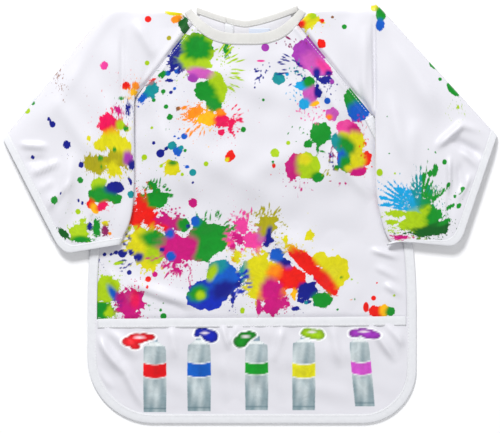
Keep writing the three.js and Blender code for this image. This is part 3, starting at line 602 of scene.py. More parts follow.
for seed, (colour, x, y, low, high, first, last, count) in enumerate(STREAK_FANS):
    ways = np.radians(np.random.RandomState(500 + seed).uniform(first, last, count))
    outs = np.random.RandomState(520 + seed).uniform(low, high, count)
    longs = 1.6 + 0.09 * outs * np.random.RandomState(540 + seed).uniform(0.3, 1.4, count)
    for way, out, long in zip(ways, outs, longs):
        PRINT.append((
            colour, x + out * math.cos(way), y + out * math.sin(way), long, 0.85, 0, math.degrees(way)
        ))
DROP_PATCHES = [  # ink, middle, half-widths of the patch that fine drops fell in, how many
    ("plum", 87, 63, 5, 9, 22), ("navy", 84, 56, 6, 8, 16), ("red", 122, 72, 5, 26, 30),
    ("magenta", 118, 95, 8, 8, 12), ("magenta", 96, 31, 12, 4, 14), ("magenta", 52, 26, 11, 7, 26),
    ("olive", 84, 44, 12, 10, 22), ("green", 52, 86, 9, 12, 16), ("pink", 72, 103, 14, 8, 20),
    ("navy", 14, 146, 16, 14, 20), ("plum", 42, 176, 16, 8, 14), ("teal", 52, 150, 12, 10, 18),
    ("cyan", 44, 128, 10, 12, 16), ("navy", 84, 130, 8, 8, 12), ("pink", 56, 104, 16, 8, 18),
]
for seed, (colour, x, y, wide, tall, count) in enumerate(DROP_PATCHES):
    for along, up in np.random.RandomState(300 + seed).normal(0, 0.5, (count, 2)):
        one, two = np.random.RandomState(int(1e3 * abs(along))).uniform(0, 1, 2)
        PRINT.append((
            colour, x + wide * along, y + tall * up, 0.5 + 0.5 * one, 0.5 + 0.9 * two, 0, 40 * along
        ))

front_cloth = cloth_grid("front_cloth", 190, 236, panel_surface, printed, lining)
paint(front_cloth, PRINT, 11)
wall(front_cloth)
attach(front_cloth, "body")
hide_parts("front_panel")

# --- Pocket --------------------------------------------------------------------------------
# A wide shallow pocket of the same polyester lies on the foot of the front and is caught in
# the hem tape. Its mouth stands a little open. Five paint tubes are printed along it.
POCKET_FOLDS = [
    ((-164, -128), (-134, -166), 6, 4.4), ((-134, -160), (-112, -204), 6, 3.6),
    ((-152, -118), (-120, -150), 7, 2.6), ((-166, -160), (-146, -184), 5, 2.4),
    ((-30, -114), (-22, -142), 4, 2.2), ((-14, -116), (-20, -136), 4, 1.6),
    ((126, -116), (152, -154), 5, 3.2), ((142, -114), (164, -140), 5, 2.6),
    ((60, -180), (112, -192), 11, 1.8), ((-92, -176), (-40, -198), 11, 1.8),
    ((34, -120), (26, -154), 5, 1.8), ((-84, -116), (-78, -150), 6, 1.6),
    ((86, -118), (94, -160), 6, 1.8), ((-28, -150), (-24, -200), 7, 1.6),
    ((30, -150), (34, -196), 7, 1.4),
]


def inside_edge(x, y):
    """How far inside the panel's cut edge a point lies, round the corners too."""
    depth = np.full_like(x, 1e3)
    for side in (LEFT, RIGHT):
        across = (side["x"] - x) * side["sign"]
        up = y - panel_low[1]
        radius = side["radius"]
        round_ = radius - np.hypot(np.clip(radius - across, 0, None), np.clip(radius - up, 0, None))
        near_corner = (across < radius) & (up < radius)
        depth = np.minimum(depth, np.where(near_corner, round_, np.minimum(across, up)))
    return depth


def pocket_surface(u, v):
    x, y = panel_place(u, v * MOUTH_AT)
    deep = inside_edge(x, y)
    rise = smooth(v, 0.12, 0.9)
    lift = 1.1 + 0.7 * smooth(v, 0.5, 0.9) * smooth(deep, 3, 14) + 4.6 * smooth(deep, 12, 80) * rise
    loose = smooth(deep, 6, 18) * smooth(1 - v, 0.0, 0.12)
    shape = folds(x, y, POCKET_FOLDS) + ripple(x, y, 9, 34, 0.7)
    shape = shape + 0.35 * np.sin(x * 2 * math.pi / 17 + 1.3 * np.sin(x / 29)) * smooth(v, 0.55, 0.95)
    lifted = np.maximum(lift + shape * loose * (0.55 + 0.45 * rise), 0.9)
    return x, y, panel_height(x, y) + PLY + lifted


TUBES = [  # middle, top, foot, width, lean, band colour, band middle and height, blob colour and place
    (-100, -139, -209, 24.5, 0.000, "#E4262A", -165, 14, "#E8202A", (-116, -132.5, 15, 8)),
    (-53.5, -137, -208, 25, 0.000, "#1860C4", -164, 14, "#1424A8", (-47.5, -127.5, 11, 7.5)),
    (7, -137.5, -207, 24.5, 0.000, "#1E9A2E", -162.8, 11.5, "#1E8A26", (-4.5, -131.5, 11, 8.5)),
    (56.5, -135.5, -207, 24.5, 0.000, "#E8E23A", -165, 14, "#9AC81E", (65, -126.5, 11, 7.5)),
    (114.5, -135.5, -203, 21.5, -0.095, "#D45ACB", -162.3, 12.5, "#A040B8", (119.5, -126, 13.5, 7)),
]
# Each blob is a string of round lobes: along, up and size, in shares of the blob's half-sizes.
BLOB_LOBES = [
    [(-0.62, -0.25, 0.62), (-0.2, 0.12, 0.66), (0.3, 0.3, 0.52), (0.75, 0.35, 0.36), (-0.3, -0.9, 0.36)],
    [(0.5, -0.1, 0.78), (0.0, 0.35, 0.6), (-0.45, 0.45, 0.5), (-0.75, 0.05, 0.3), (0.65, -0.4, 0.6)],
    [(-0.5, -0.35, 0.7), (-0.15, 0.15, 0.66), (0.35, 0.45, 0.5), (0.72, 0.5, 0.32), (-0.6, -0.7, 0.4)],
    [(-0.4, 0.2, 0.62), (0.15, 0.0, 0.66), (0.62, -0.15, 0.62), (-0.8, 0.1, 0.3), (0.7, 0.25, 0.4)],
    [(-0.6, 0.1, 0.56), (-0.1, 0.25, 0.56), (0.35, -0.05, 0.64), (0.75, -0.25, 0.56), (-0.85, -0.2, 0.3)],
]


def print_tubes(piece):
    """Lays the tubes on the pocket as attributes: what covers the ground, and its colour."""
    co = point_places(piece.data) / MM
    x, y = co[:, 0], co[:, 1]
    ink = np.tile(np.array(BARE), (len(x), 1))
    edge = np.full(len(x), FAR)

    def lay(distance, colour, shade=1.0, soft=0.9):
        cover = np.clip(0.5 - distance / soft, 0, 1)[:, None]
        ink[:] = ink * (1 - cover) + np.clip(np.array(linear(colour)) * shade, 0, 1) * cover
        edge[:] = np.minimum(edge, distance)

    for lobes, (middle, top, foot, width, lean, band_ink, band_y, band_height, blob_ink, blob) in zip(
        BLOB_LOBES, TUBES
    ):
        centre = middle + lean * (y - top)
        across = (x - centre) / (width / 2)
        down = (top - y) / (top - foot)
        flare = 1 - 0.02 * np.cos(down * 6) - 0.06 * np.exp(-((down / 0.05) ** 2))
        across = across / flare
        body = np.maximum((np.abs(across) - 1) * width / 2, np.maximum(y - top, foot - y))
        # The metal: pale along the lit edge, greyer in the middle and darker at the foot.
        light = 0.55 + 0.22 * np.cos(across * 3.4 + 0.9 + 1.6 * np.sin(down * 5))
        light = light + 0.10 * np.cos(across * 9 + down * 6)
        light = light + 0.12 * np.sin(across * 2 + down * 11) - 0.26 * smooth(down, 0.5, 1)
        tone = np.clip(light, 0, 1)[:, None]
        metal = np.array(linear("#6F8890")) * (1 - tone) + np.array(linear("#D3DCDD")) * tone
        aside = np.abs(x - centre)
        cone = np.maximum(aside - 4.0 - 1.3 * (top + 4.5 - y), np.abs(y - top - 2) - 2.8)
        lay(cone, "#B9C6CA")
        lay(cone + 1.0, "#E9EEEE")
        cap = np.maximum(aside - 3.4, np.abs(y - top - 6.6) - 2.6)
        lay(cap, "#86A0B0", 1.2 - 0.5 * aside[:, None] / 3.4)
        lay(body, "#FFFFFF", metal)
        lay(np.maximum(body, np.abs(y - foot - 4) - 0.5), "#5F7780")  # the crimp
        off_band = np.abs(y - (band_y - 2.2 * (1 - across**2) + 1.2)) - band_height / 2
        lay(np.maximum(body, off_band - 0.9), "#EDF1F0")
        lay(np.maximum(body, off_band), band_ink, 0.82 + 0.25 * tone)
        bx, by, half_x, half_y = blob
        puddle = np.full(len(x), FAR)
        for px, py, size in lobes:
            r = np.hypot((x - bx) / half_x - px, ((y - by) / half_y - py) * 0.9)
            puddle = np.minimum(puddle, (r - size) * half_y)
        lay(puddle - 1.4, "#FAFBFC")
        lay(puddle, blob_ink, 0.55 + 0.6 * np.clip(-puddle / (0.5 * half_y), 0, 1)[:, None])
        glint = np.hypot((x - bx) / (0.34 * half_x), (y - by - 0.28 * half_y) / (0.16 * half_y)) - 1
        lay(np.maximum(glint * 1.2, puddle + 1.0), "#F4E8EE", soft=1.6)
    plain = np.zeros(len(x))
    store(piece.data, edge, plain, plain, ink)


pocket_cloth = cloth_grid("pocket_cloth", 300, 96, pocket_surface, printed, lining)
print_tubes(pocket_cloth)
wall(pocket_cloth)
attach(pocket_cloth, "body")
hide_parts("pocket_panel")

# --- Pocket mouth tape ---------------------------------------------------------------------
# White bias tape, cut on the cross from poplin and folded over the pocket's raw mouth. It is
# sewn on with one row of lockstitch near its inner edge.
TAPE_PLY, TAPE_SLACK, TAPE_WIDTH, CUFF_TAPE_WIDTH = 0.4, 0.12, 10, 9
STITCH_PITCH, SEAM_INSET = 3.2, 1.7  # the seam runs this far from the tape's inner edge


def normalised(vectors):
    return vectors / np.maximum(np.linalg.norm(vectors, axis=1, keepdims=True), 1e-9)


def run_along(points):
    """How far along a line of points each of them lies."""
    return np.concatenate([[0], np.cumsum(np.linalg.norm(np.diff(points, axis=0), axis=1))])


def resampled(points, step):
    """Points at an even spacing along a line of points."""
    at = run_along(points)
    want = np.linspace(0, at[-1], max(2, int(round(at[-1] / step)) + 1))
    return np.stack([np.interp(want, at, points[:, k]) for k in range(3)], 1), want


def mesh_piece(name, points, faces, uvs, finish):
    """A piece from its points and faces, with a UV for each corner, all in millimetres."""
    mesh = bpy.data.meshes.new(name)
    mesh.from_pydata((np.asarray(points) * MM).tolist(), [], [tuple(f) for f in faces])
    piece = bpy.data.objects.new(name, mesh)
    bpy.context.scene.collection.objects.link(piece)
    if uvs is not None:
        layer = mesh.uv_layers.new(name="cloth")
        layer.data.foreach_set("uv", (np.asarray(uvs) * MM).ravel())
    mesh.update()
    mesh.shade_smooth()
    mesh.materials.append(finish)
    return piece


TOP_FACE = 10  # a face on the tape's upper leg


def tape(name, at, inward, upward, filled, width=TAPE_WIDTH, closed=False):
    """Tape folded round a raw edge that is filled mm thick. Every ring is a C section: an outer
    line from the lower leg round the fold to the upper leg, and an inner line one ply inside it."""
    reach = filled / 2 + TAPE_SLACK + TAPE_PLY
    turn = np.linspace(-math.pi / 2, math.pi / 2, 7)[::-1]
    leg = width - reach
    outer = [(leg, -reach), (leg - SEAM_INSET, -reach), (leg * 0.45, -reach - 0.1)]
    outer += [(-reach * math.cos(a), reach * math.sin(-a)) for a in turn]
    outer += [(leg * 0.45, reach + 0.12), (leg - SEAM_INSET, reach), (leg, reach - 0.05)]
    outer = np.array(outer)
    gap = reach - TAPE_PLY
    inner = outer.copy()
    inner[:, 1] = np.clip(outer[:, 1], -gap, gap)
    inner[:, 0] = np.where(outer[:, 0] < 0, outer[:, 0] * gap / reach, outer[:, 0])
    section = np.concatenate([outer, inner[::-1]])
    count, around = len(at), len(section)
    run = run_along(at)
    pull = 0.5 + 0.5 * np.cos(run * 2 * math.pi / STITCH_PITCH)  # 1 where the thread pulls down
    rows = []
    for k, (s, n) in enumerate(section):
        on_seam = 1.0 if k in (1, 11) else 0.25 if k in (0, 2, 10, 12) else 0.0
        rise = n + filled / 2 - math.copysign(1, n) * on_seam * 0.42 * pull
        rows.append(at + inward * s + upward * rise[:, None])
    points = np.stack(rows, 1).reshape(-1, 3)
    lengths = run_along(section)
    faces, uvs = [], []
    for r in range(count if closed else count - 1):
        q = (r + 1) % count
        run_next = run[q] if q else run[r] + 2
        for k in range(around):
            n = (k + 1) % around
            faces.append((r * around + k, r * around + n, q * around + n, q * around + k))
            up = lengths[k + 1] if k + 1 < around else lengths[k] + 0.4
            uvs += [(run[r], lengths[k]), (run[r], up), (run_next, up), (run_next, lengths[k])]
    if not closed:
        half = len(outer)
        for r, flip in ((0, True), (count - 1, False)):
            for k in range(half - 1):
                ring = [k, k + 1, around - 2 - k, around - 1 - k]
                face = [r * around + i for i in (ring[::-1] if flip else ring)]
                faces.append(face)
                uvs += [(run[r], lengths[i % around]) for i in (k, k + 1, k + 1, k)]
    piece = mesh_piece(name, points, faces, uvs, tape_white)
    if np.dot(np.array(piece.data.polygons[TOP_FACE].normal), upward[0]) < 0:
        piece.data.flip_normals()
    return piece, run


def flat_frames(points):
    """For an edge run with its cloth on the left: the way in, and straight up."""
    along = normalised(np.gradient(points, axis=0) * [1, 1, 0])
    inward = np.stack([-along[:, 1], along[:, 0], np.zeros(len(along))], 1)
    return inward, np.tile([0.0, 0, 1], (len(points), 1))


# Spun polyester sewing thread: white and matt, in stitches 2.6 mm long.
thread, tree, shader = material("spun_polyester_thread")
shader.inputs["Base Color"].default_value = linear("#EEEEF0")
shader.inputs["Roughness"].default_value = 0.7
shader.inputs["Sheen Weight"].default_value = 0.2
twist = node(tree, "TexNoise", (), {"Vector": node(tree, "TexCoord").outputs["Object"]}, Scale=2500.0)
tree.links.new(
    node(
        tree, "Bump", (), {"Height": twist.outputs["Fac"]}, Strength=0.3, Distance=0.0001
    ).outputs["Normal"],
    shader.inputs["Normal"],
)

bpy.ops.mesh.primitive_uv_sphere_add(segments=6, ring_count=4, radius=1, location=(0, 0, 0))
model_stitch = bpy.context.object
stitch_points = np.array([v.co for v in model_stitch.data.vertices])
stitch_faces = [tuple(p.vertices) for p in model_stitch.data.polygons]
bpy.data.objects.remove(model_stitch)


STITCH_LENGTH, STITCH_HALF = 2.6, 0.3


def stitches(name, line, normals, body):
    """A row of lockstitch along a line of points, with the normals of the cloth there. Every
    stitch is a small rounded bar that sinks in at its ends."""
    points, faces = [], []
    even, at = resampled(line, STITCH_PITCH / 2)
    up = normalised(np.stack([np.interp(at, run_along(line), normals[:, k]) for k in range(3)], 1))
    along = normalised(np.gradient(even, axis=0))
    for k in range(1, len(even) - 1, 2):
        side = np.cross(along[k], up[k])
        shape = stitch_points[:, 2:3] * along[k] * STITCH_LENGTH / 2
        shape = shape + stitch_points[:, 0:1] * side * STITCH_HALF
        shape = shape + stitch_points[:, 1:2] * up[k] * STITCH_HALF
        base = len(points)
        points.extend(even[k] + shape)
        faces.extend(tuple(base + i for i in f) for f in stitch_faces)
    piece = mesh_piece(name, points, faces, None, thread)
    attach(piece, body)
    return piece


# Cotton-rich poplin bias tape: matt white, with its threads on the cross at 45 degrees. Threads
# 0.3 mm apart are drawn 0.7 mm apart, so that they show.
tape_white, tree, shader = material("white_poplin_bias_tape")
uv = node(tree, "UVMap", {"uv_map": "cloth"}).outputs["UV"]
turned = node(tree, "Mapping", (), {"Vector": uv}, Rotation=(0, 0, math.radians(45)))
cross = []
for direction in ("X", "Y"):
    wave = node(
        tree, "TexWave", {"wave_type": "BANDS", "bands_direction": direction},
        {"Vector": turned.outputs["Vector"]}, Scale=1430.0 / 3.1416, Distortion=0.4,
    )
    cross.append(wave.outputs["Fac"])
both = node(tree, "Math", {"operation": "MULTIPLY"}, {0: cross[0], 1: cross[1]})
grain = node(tree, "TexNoise", (), {"Vector": uv}, Scale=180.0, Detail=3.0)
tone = node(
    tree, "Mix", {"data_type": "RGBA"}, {"Factor": grain.outputs["Fac"]},
    A=linear("#DCDDE1"), B=linear("#E9EAED"),
)
tree.links.new(tone.outputs["Result"], shader.inputs["Base Color"])
shader.inputs["Roughness"].default_value = 0.68
shader.inputs["Sheen Weight"].default_value = 0.15
tree.links.new(
    node(tree, "Bump", (), {"Height": both.outputs[0]}, Strength=0.5, Distance=0.00012).outputs["Normal"],
    shader.inputs["Normal"],
)


def tape_facts(piece, body, replaced, rests_on):
    """Puts a tape on its body and hides the CAD part that it replaces."""
    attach(piece, body)
    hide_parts(replaced)


us = np.linspace(0.028, 0.972, 230)[::-1]
mouth = np.stack(pocket_surface(us, np.ones_like(us)), 1)
mouth, _ = resampled(mouth, STITCH_PITCH / 2)
mouth[:, 2] -= PLY
inward, upward = flat_frames(mouth)
mouth_tape, run = tape("pocket_mouth_tape", mouth, inward, upward, PLY)
tape_facts(mouth_tape, "body", "pocket_mouth_binding", "pocket_cloth")
THIN_EDGE = PLY / 2 + TAPE_SLACK + TAPE_PLY  # from the middle of one ply to the tape's face
SEAM_RISE = PLY / 2 + 0.55
seam = mouth + inward * (TAPE_WIDTH - THIN_EDGE - SEAM_INSET) + upward * SEAM_RISE
stitches("pocket_mouth_stitches", seam, upward, "body")

# --- Side and hem tape ---------------------------------------------------------------------
# The same tape in one length round the sides and the hem, from armpit to armpit. It closes in
# the edges of both the front and the pocket.
vs = np.concatenate([np.linspace(0, 0.3, 160)[:-1], np.linspace(0.3, 0.757, 200)])
left_x, left_y = side_edge(LEFT, vs)
right_x, right_y = side_edge(RIGHT, vs)
bound = np.concatenate([
    np.stack([left_x, left_y], 1)[::-1],
    np.stack([np.linspace(left_x[0], right_x[0], 60), np.full(60, left_y[0])], 1)[1:-1],
    np.stack([right_x, right_y], 1),
])
bound = np.column_stack([bound, panel_height(bound[:, 0], bound[:, 1])])
bound, _ = resampled(bound, STITCH_PITCH / 2)
kernel = np.ones(7) / 7
for k in range(2):
    bound[3:-3, k] = np.convolve(bound[:, k], kernel, "valid")
inward, upward = flat_frames(bound)
HEM_FILL = 1.3  # both panels' plies, and the slack between them
hem_tape, run = tape("side_and_hem_tape", bound, inward, upward, HEM_FILL)
tape_facts(hem_tape, "body", "side_and_hem_binding", "front_cloth")
thick_edge = HEM_FILL / 2 + TAPE_SLACK + TAPE_PLY
seam = bound + inward * (TAPE_WIDTH - thick_edge - SEAM_INSET) + upward * (HEM_FILL / 2 + 1.05)
stitches("side_and_hem_stitches", seam, upward, "body")

# --- Sleeves -------------------------------------------------------------------------------
# Long full raglan sleeves of the same print, each one piece of cloth with a seam under the arm.
# They lie flattened, with a soft fold along the shoulder and another along the underarm.
LEFT.update(
    name="left", fold=121, shoulder=(-146.5, SHOULDER_Y - 1.5), cuff_top=(130.8, -34.5),
    cuff_corner=(69, -155), cuff_inner=(8.5, -145), inner_edge=[(-6.6, -40), (-6.2, -92), (-1, -124)],
    hem=170.5, blend=((-0.119, 0, 0), (-0.150, 0, 0)),
)
RIGHT.update(
    name="right", fold=131, shoulder=(133, SHOULDER_Y), cuff_top=(131.2, -22),
    cuff_corner=(91.2, -139), cuff_inner=(22.8, -133), inner_edge=[(3.6, -45), (4.7, -81), (12, -118)],
    hem=174.5, blend=((0.129, 0, 0), (0.160, 0, 0)),
)
SLEEVE_LOW, SLEEVE_HIGH, FOLD_PLIES = 1.2, 9.8, 1.7
HEAD_AT = 0.24  # share of the sleeve's rows between the raglan seam and the fold line
ACROSS, ALONG = 84, 170
SLEEVE_LENGTH = 260  # from neck to cuff, for the print's own map
BACK_AWAY = 600.0  # the back of a sleeve is painted this far to one side, with a print of its own


def broken_line(points, shares):
    """A line through points, each stretch of which takes its own share."""
    knots = np.concatenate([[0], np.cumsum(shares)]) / sum(shares)
    places = np.array(points, float)
    return lambda t: np.stack([np.interp(t, knots, places[:, k]) for k in (0, 1)], -1)


def eased(line, reach):
    """The same line with its corners rounded."""
    steps = np.linspace(-reach, reach, 9)
    kept = lambda t: np.minimum(1, np.minimum(t, 1 - t) / reach)  # the ends stay where they are
    return lambda t: np.mean([line(np.clip(t + step * kept(t), 0, 1)) for step in steps], 0)


def patch(bottom, top, left, right):
    """The surface between four edges."""
    corners = [bottom(0.0), bottom(1.0), top(0.0), top(1.0)]

    def place(u, v):
        a, b = u[..., None], v[..., None]
        made = bottom(u) * (1 - b) + top(u) * b + left(v) * (1 - a) + right(v) * a
        made = made - corners[0] * (1 - a) * (1 - b) - corners[1] * a * (1 - b)
        return made - corners[2] * (1 - a) * b - corners[3] * a * b

    return place


def sleeve_plan(side):
    """Where the sleeve's front and back layers lie in plan: u from underarm to shoulder, v from
    raglan seam to cuff."""
    sign = side["sign"]
    armpit = np.array(side["armpit"])
    seam_top = raglan_top(side)
    neck_end = np.array(neck_seam(float(sign))) + [sign * 2, -1]
    fold_x = sign * side["fold"]
    shoulder = np.array(side["shoulder"])
    from_armpit = lambda p: armpit + [sign * p[0], p[1]]
    cuff_top, corner, cuff_inner = (from_armpit(side[k]) for k in ("cuff_top", "cuff_corner", "cuff_inner"))
    start = armpit
    if side["fold"] < abs(armpit[0]):
        share = (fold_x - sign * 2 - armpit[0]) / (seam_top[0] - armpit[0])
        start = mix(armpit, seam_top, share)
    fold_top = np.array([fold_x, mix(neck_end[1], shoulder[1], 0.85)])
    fold_foot = np.array([fold_x, start[1] - 3])
    seam = broken_line([start, seam_top, neck_end], [5, 2])
    head = patch(
        seam, broken_line([fold_foot, fold_top], [1]),
        broken_line([start, fold_foot], [1]), broken_line([neck_end, fold_top], [1]),
    )
    under = np.array([fold_foot] + [from_armpit(p) for p in side["inner_edge"]] + [cuff_inner])
    knots = np.linspace(0, 1, 5)
    fits = [np.polyfit(knots, under[:, k], 4) for k in (0, 1)]
    inner = lambda t: np.stack([np.polyval(fit, t) for fit in fits], -1)
    outer = eased(broken_line([fold_top, shoulder, cuff_top], [1, 4]), 0.05)
    front_cuff = eased(broken_line([cuff_inner, corner, cuff_top], [3, 4]), 0.07)
    waist = broken_line([fold_foot, fold_top], [1])
    # The under layer's cuff cuts across the corner, so that the opening shows it.
    short_corner = mix(corner, mix(cuff_inner, cuff_top, 0.43), 0.55)
    back_cuff = eased(broken_line([cuff_inner, short_corner, cuff_top], [3, 4]), 0.07)
    front, back = patch(waist, front_cuff, inner, outer), patch(waist, back_cuff, inner, outer)

    def place(u, v, layer):
        head_v, arm_v = v / HEAD_AT, (v - HEAD_AT) / (1 - HEAD_AT)
        arm = layer(u, np.clip(arm_v, 0, 1))
        return np.where((v < HEAD_AT)[..., None], head(u, np.clip(head_v, 0, 1)), arm)

    return lambda u, v: place(u, v, front), lambda u, v: place(u, v, back)


SLEEVE_FOLDS = {
    "left": [
        ((-244, 72), (-212, 70), 3.5, 2.8), ((-232, 40), (-200, 54), 3.5, 3.2),
        ((-238, 54), (-214, 58), 3, -1.6), ((-216, 2), (-188, 34), 4, 3.2),
        ((-226, 22), (-206, 34), 3, 1.8), ((-134, 190), (-134, 120), 4, -1.6),
        ((-204, 122), (-160, 56), 11, 2.4), ((-170, 172), (-222, 98), 14, 2.0),
        ((-186, 60), (-196, -10), 8, 2.2), ((-166, -2), (-167, -28), 2.5, -2.0),
        ((-150, 122), (-140, 36), 8, 1.8), ((-120, 200), (-96, 160), 7, 2.2),
    ],
    "right": [
        ((196, 70), (224, 94), 4.5, 4.2), ((218, 94), (258, 84), 4.5, 3.4),
        ((212, 78), (250, 58), 5.5, -3.4), ((222, 66), (244, 46), 4.5, 2.6),
        ((250, 60), (246, 36), 5, -2.4), ((209, 58), (209, 22), 3.2, 3.2),
        ((219, 52), (222, 24), 4, -2.4), ((130, 206), (131, 110), 2.2, -3.0),
        ((122, 194), (118, 116), 6, 1.8), ((208, 20), (208, -26), 2.2, -2.2),
        ((150, 184), (198, 106), 13, 2.4), ((232, 40), (218, 14), 4, 2.4),
        ((148, 124), (162, 56), 9, 2.0), ((172, 96), (168, 40), 9, 1.8),
        ((180, 204), (214, 160), 10, 1.8),
    ],
}
SLEEVE_PRINTS = {
    "left": [
        ("pink", -153, 155, 4.4, 4.4, 1), ("red", -107, 204, 3.5), ("lime", -108, 158, 2.6),
        ("yellow", -80, 210.5, 9, 3.2, 1, -12), ("orange", -77, 204, 6, 4, 1, 20),
        ("forest", -67, 196, 6, 9, 2), ("olive", -85, 184, 2.6), ("red", -130, 134, 5, 4, 2),
        ("orange", -120, 134, 4, 4, 2), ("amber", -124, 127, 5, 5, 3), ("green", -135, 121, 4, 2, 1),
        ("navy", -128, 110, 2.4, 5, 3), ("rose", -148, 95, 11, 10.5, 2),
        ("magenta", -138, 108, 4, 4, 3, 30), ("orange", -145, 85, 8, 4, 1), ("lime", -136, 93, 5, 5, 1),
        ("yellow", -143, 76, 15, 10, 2), ("yellow", -134, 68, 10, 12, 1), ("yellow", -157, 72, 7, 6, 1),
        ("olive", -162, 53, 14, 9, 2), ("olive", -141, 55, 16, 9, 2), ("yellow", -142, 46, 10, 7, 3),
        ("purple", -128, 58, 5, 8, 1), ("navy", -124, 51, 4, 5, 2), ("navy", -126, 34.5, 1.6, 4, 1, 20),
        ("teal", -125, 20, 3.8, 3.8, 1), ("green", -142, 67, 2.2), ("green", -157, 58, 2.9),
        ("green", -156, 49, 1.7), ("green", -130, 89, 3), ("navy", -177, 51, 3.3),
        ("yellow", -169, 79, 2.8), ("green", -178, 35, 3.4), ("navy", -198, 21, 1.7),
        ("green", -205, 14, 4.2, 4.2, 1), ("navy", -180.5, 14, 1.9), ("navy", -176, 11, 2),
        ("lime", -180.5, 2, 3), ("lime", -176, -7.5, 3.4, 2.3), ("navy", -211, 99, 2.2),
        ("navy", -207, 93.5, 3.4), ("navy", -192, 72, 4.4, 4.4, 1), ("navy", -228, 59, 2.3),
        ("green", -228, 116, 2.3), ("lime", -234, 108, 3.3), ("brown", -203, 146, 1.2, 3, 3, 30),
        ("lime", -159, 31, 9, 6, 1, 20), ("green", -155, 20, 15, 9, 1), ("green", -140, 15, 6, 5, 1, 20),
        ("navy", -142, 27, 10, 6.5, 1, 10), ("red", -167, 10, 4.5, 5, 1), ("amber", -163, 5, 4, 6, 1, 20),
        ("rose", -155, 8, 7, 4, 2, 35), ("forest", -195.5, -21, 8, 3.5, 2, -40),
        ("lime", -178, -19, 9, 9, 3), ("green", -177, -27, 11, 3.5, 2), ("navy", -168, -14, 3, 4, 1),
        ("green", -161, -15, 4, 10, 2), ("yellow", -152, -10.5, 3.5, 3, 1),
        ("plum", -152, -18, 3.5, 6, 2), ("orange", -147, -21, 1.8),
    ],
    "right": [
        ("yellow", 63, 201, 8, 8, 2), ("lime", 66, 207, 4, 3, 1), ("red", 54, 199, 4.2, 4.5, 1),
        ("red", 75.5, 202, 2.5), ("brown", 86.5, 206, 1.6), ("green", 99, 196, 2.7),
        ("red", 75, 178, 4.6, 5, 1), ("yellow", 131, 216, 4, 4, 1), ("green", 137, 209, 5, 8, 1, 10),
        ("blue", 136.5, 198, 4.5, 6.5, 1), ("green", 198.5, 151, 2), ("green", 199.5, 141, 2),
        ("green", 214, 131, 9, 5.5, 1, -45), ("lime", 219, 133, 7, 2.4, 1, -45),
        ("green", 193, 156, 5.5, 3.4, 1, -45), ("lime", 218, 111, 1.4, 1.4, 3),
        ("lime", 136, 43, 3.3, 3.9), ("green", 144, 101.5, 1), ("green", 146, 63, 1),
        ("green", 187, 67, 1.2), ("green", 194.5, 64, 1.4), ("green", 204, 54, 2.6, 3),
        ("lime", 152, 42, 1.3), ("lime", 177, -6, 13, 18, 3), ("lime", 160, -12, 9, 5, 3, 30),
        ("green", 192, -4, 8, 10, 3), ("forest", 184, -19, 20, 6, 3), ("forest", 197, -17, 11, 7, 2, 30),
        ("lime", 154, 0, 12, 3.6, 2), ("lime", 149, -9, 7, 2.5, 1), ("magenta", 158, -25, 9, 2.5, 2),
        ("teal", 177, 12, 12, 6, 3), ("teal", 189, 23, 5, 5, 2), ("cyan", 153, 14, 3.5, 3.5, 1),
        ("cyan", 158, 25, 4, 2.5, 1, -30), ("cyan", 141, 16, 6, 2, 1, -10), ("cyan", 144, 9, 8, 2, 1),
        ("green", 182, 38, 2.5, 5, 1), ("green", 194, 45, 3, 7, 1, -10), ("green", 189, 42, 3),
        ("green", 179, 48.5, 1, 2.5), ("green", 208, 30, 2, 3, 0, -20),
        ("green", 203, 24, 1.7, 2.6, 0, -20), ("green", 215, 18, 2), ("green", 220.5, 21, 1.6),
        ("green", 223, 26, 2.4), ("green", 219, 8, 2.4, 3.3, 0, -40), ("green", 210, 7, 6, 2, 1, 35),
        ("green", 204, -9, 8, 2.5, 1, 25),
    ],
}
# The spikes fan out from the splash at the right cuff, one every 7 degrees.
for turn in range(38, 172, 7):
    reach, way = 24 + 9 * math.sin(turn * 1.9), math.radians(turn)
    middle = 177 + (12 + reach / 2) * math.cos(way), 2 + (12 + reach / 2) * math.sin(way)
    shade = "cyan" if turn > 110 else "teal" if turn > 84 else "green"
    SLEEVE_PRINTS["right"].append((shade, *middle, reach / 2 + 3, 1.3, 1, turn))


HIDDEN_INKS = ["green", "lime", "yellow", "orange", "rose", "magenta", "navy", "blue", "teal"]


def random_print(seed, low, high, count):
    """Splats and drops of the same kind for the parts that lie out of sight."""
    rng = np.random.RandomState(seed)
    made = []
    for k in range(count):
        colour = HIDDEN_INKS[rng.randint(9)]
        x, y = rng.uniform(low[0], high[0]), rng.uniform(low[1], high[1])
        if k % 4 == 0:
            made.append((colour, x, y, rng.uniform(7, 15), rng.uniform(6, 13), 3, rng.uniform(0, 180)))
        else:
            made.append((colour, x, y, rng.uniform(1.4, 4.4)))
    return made


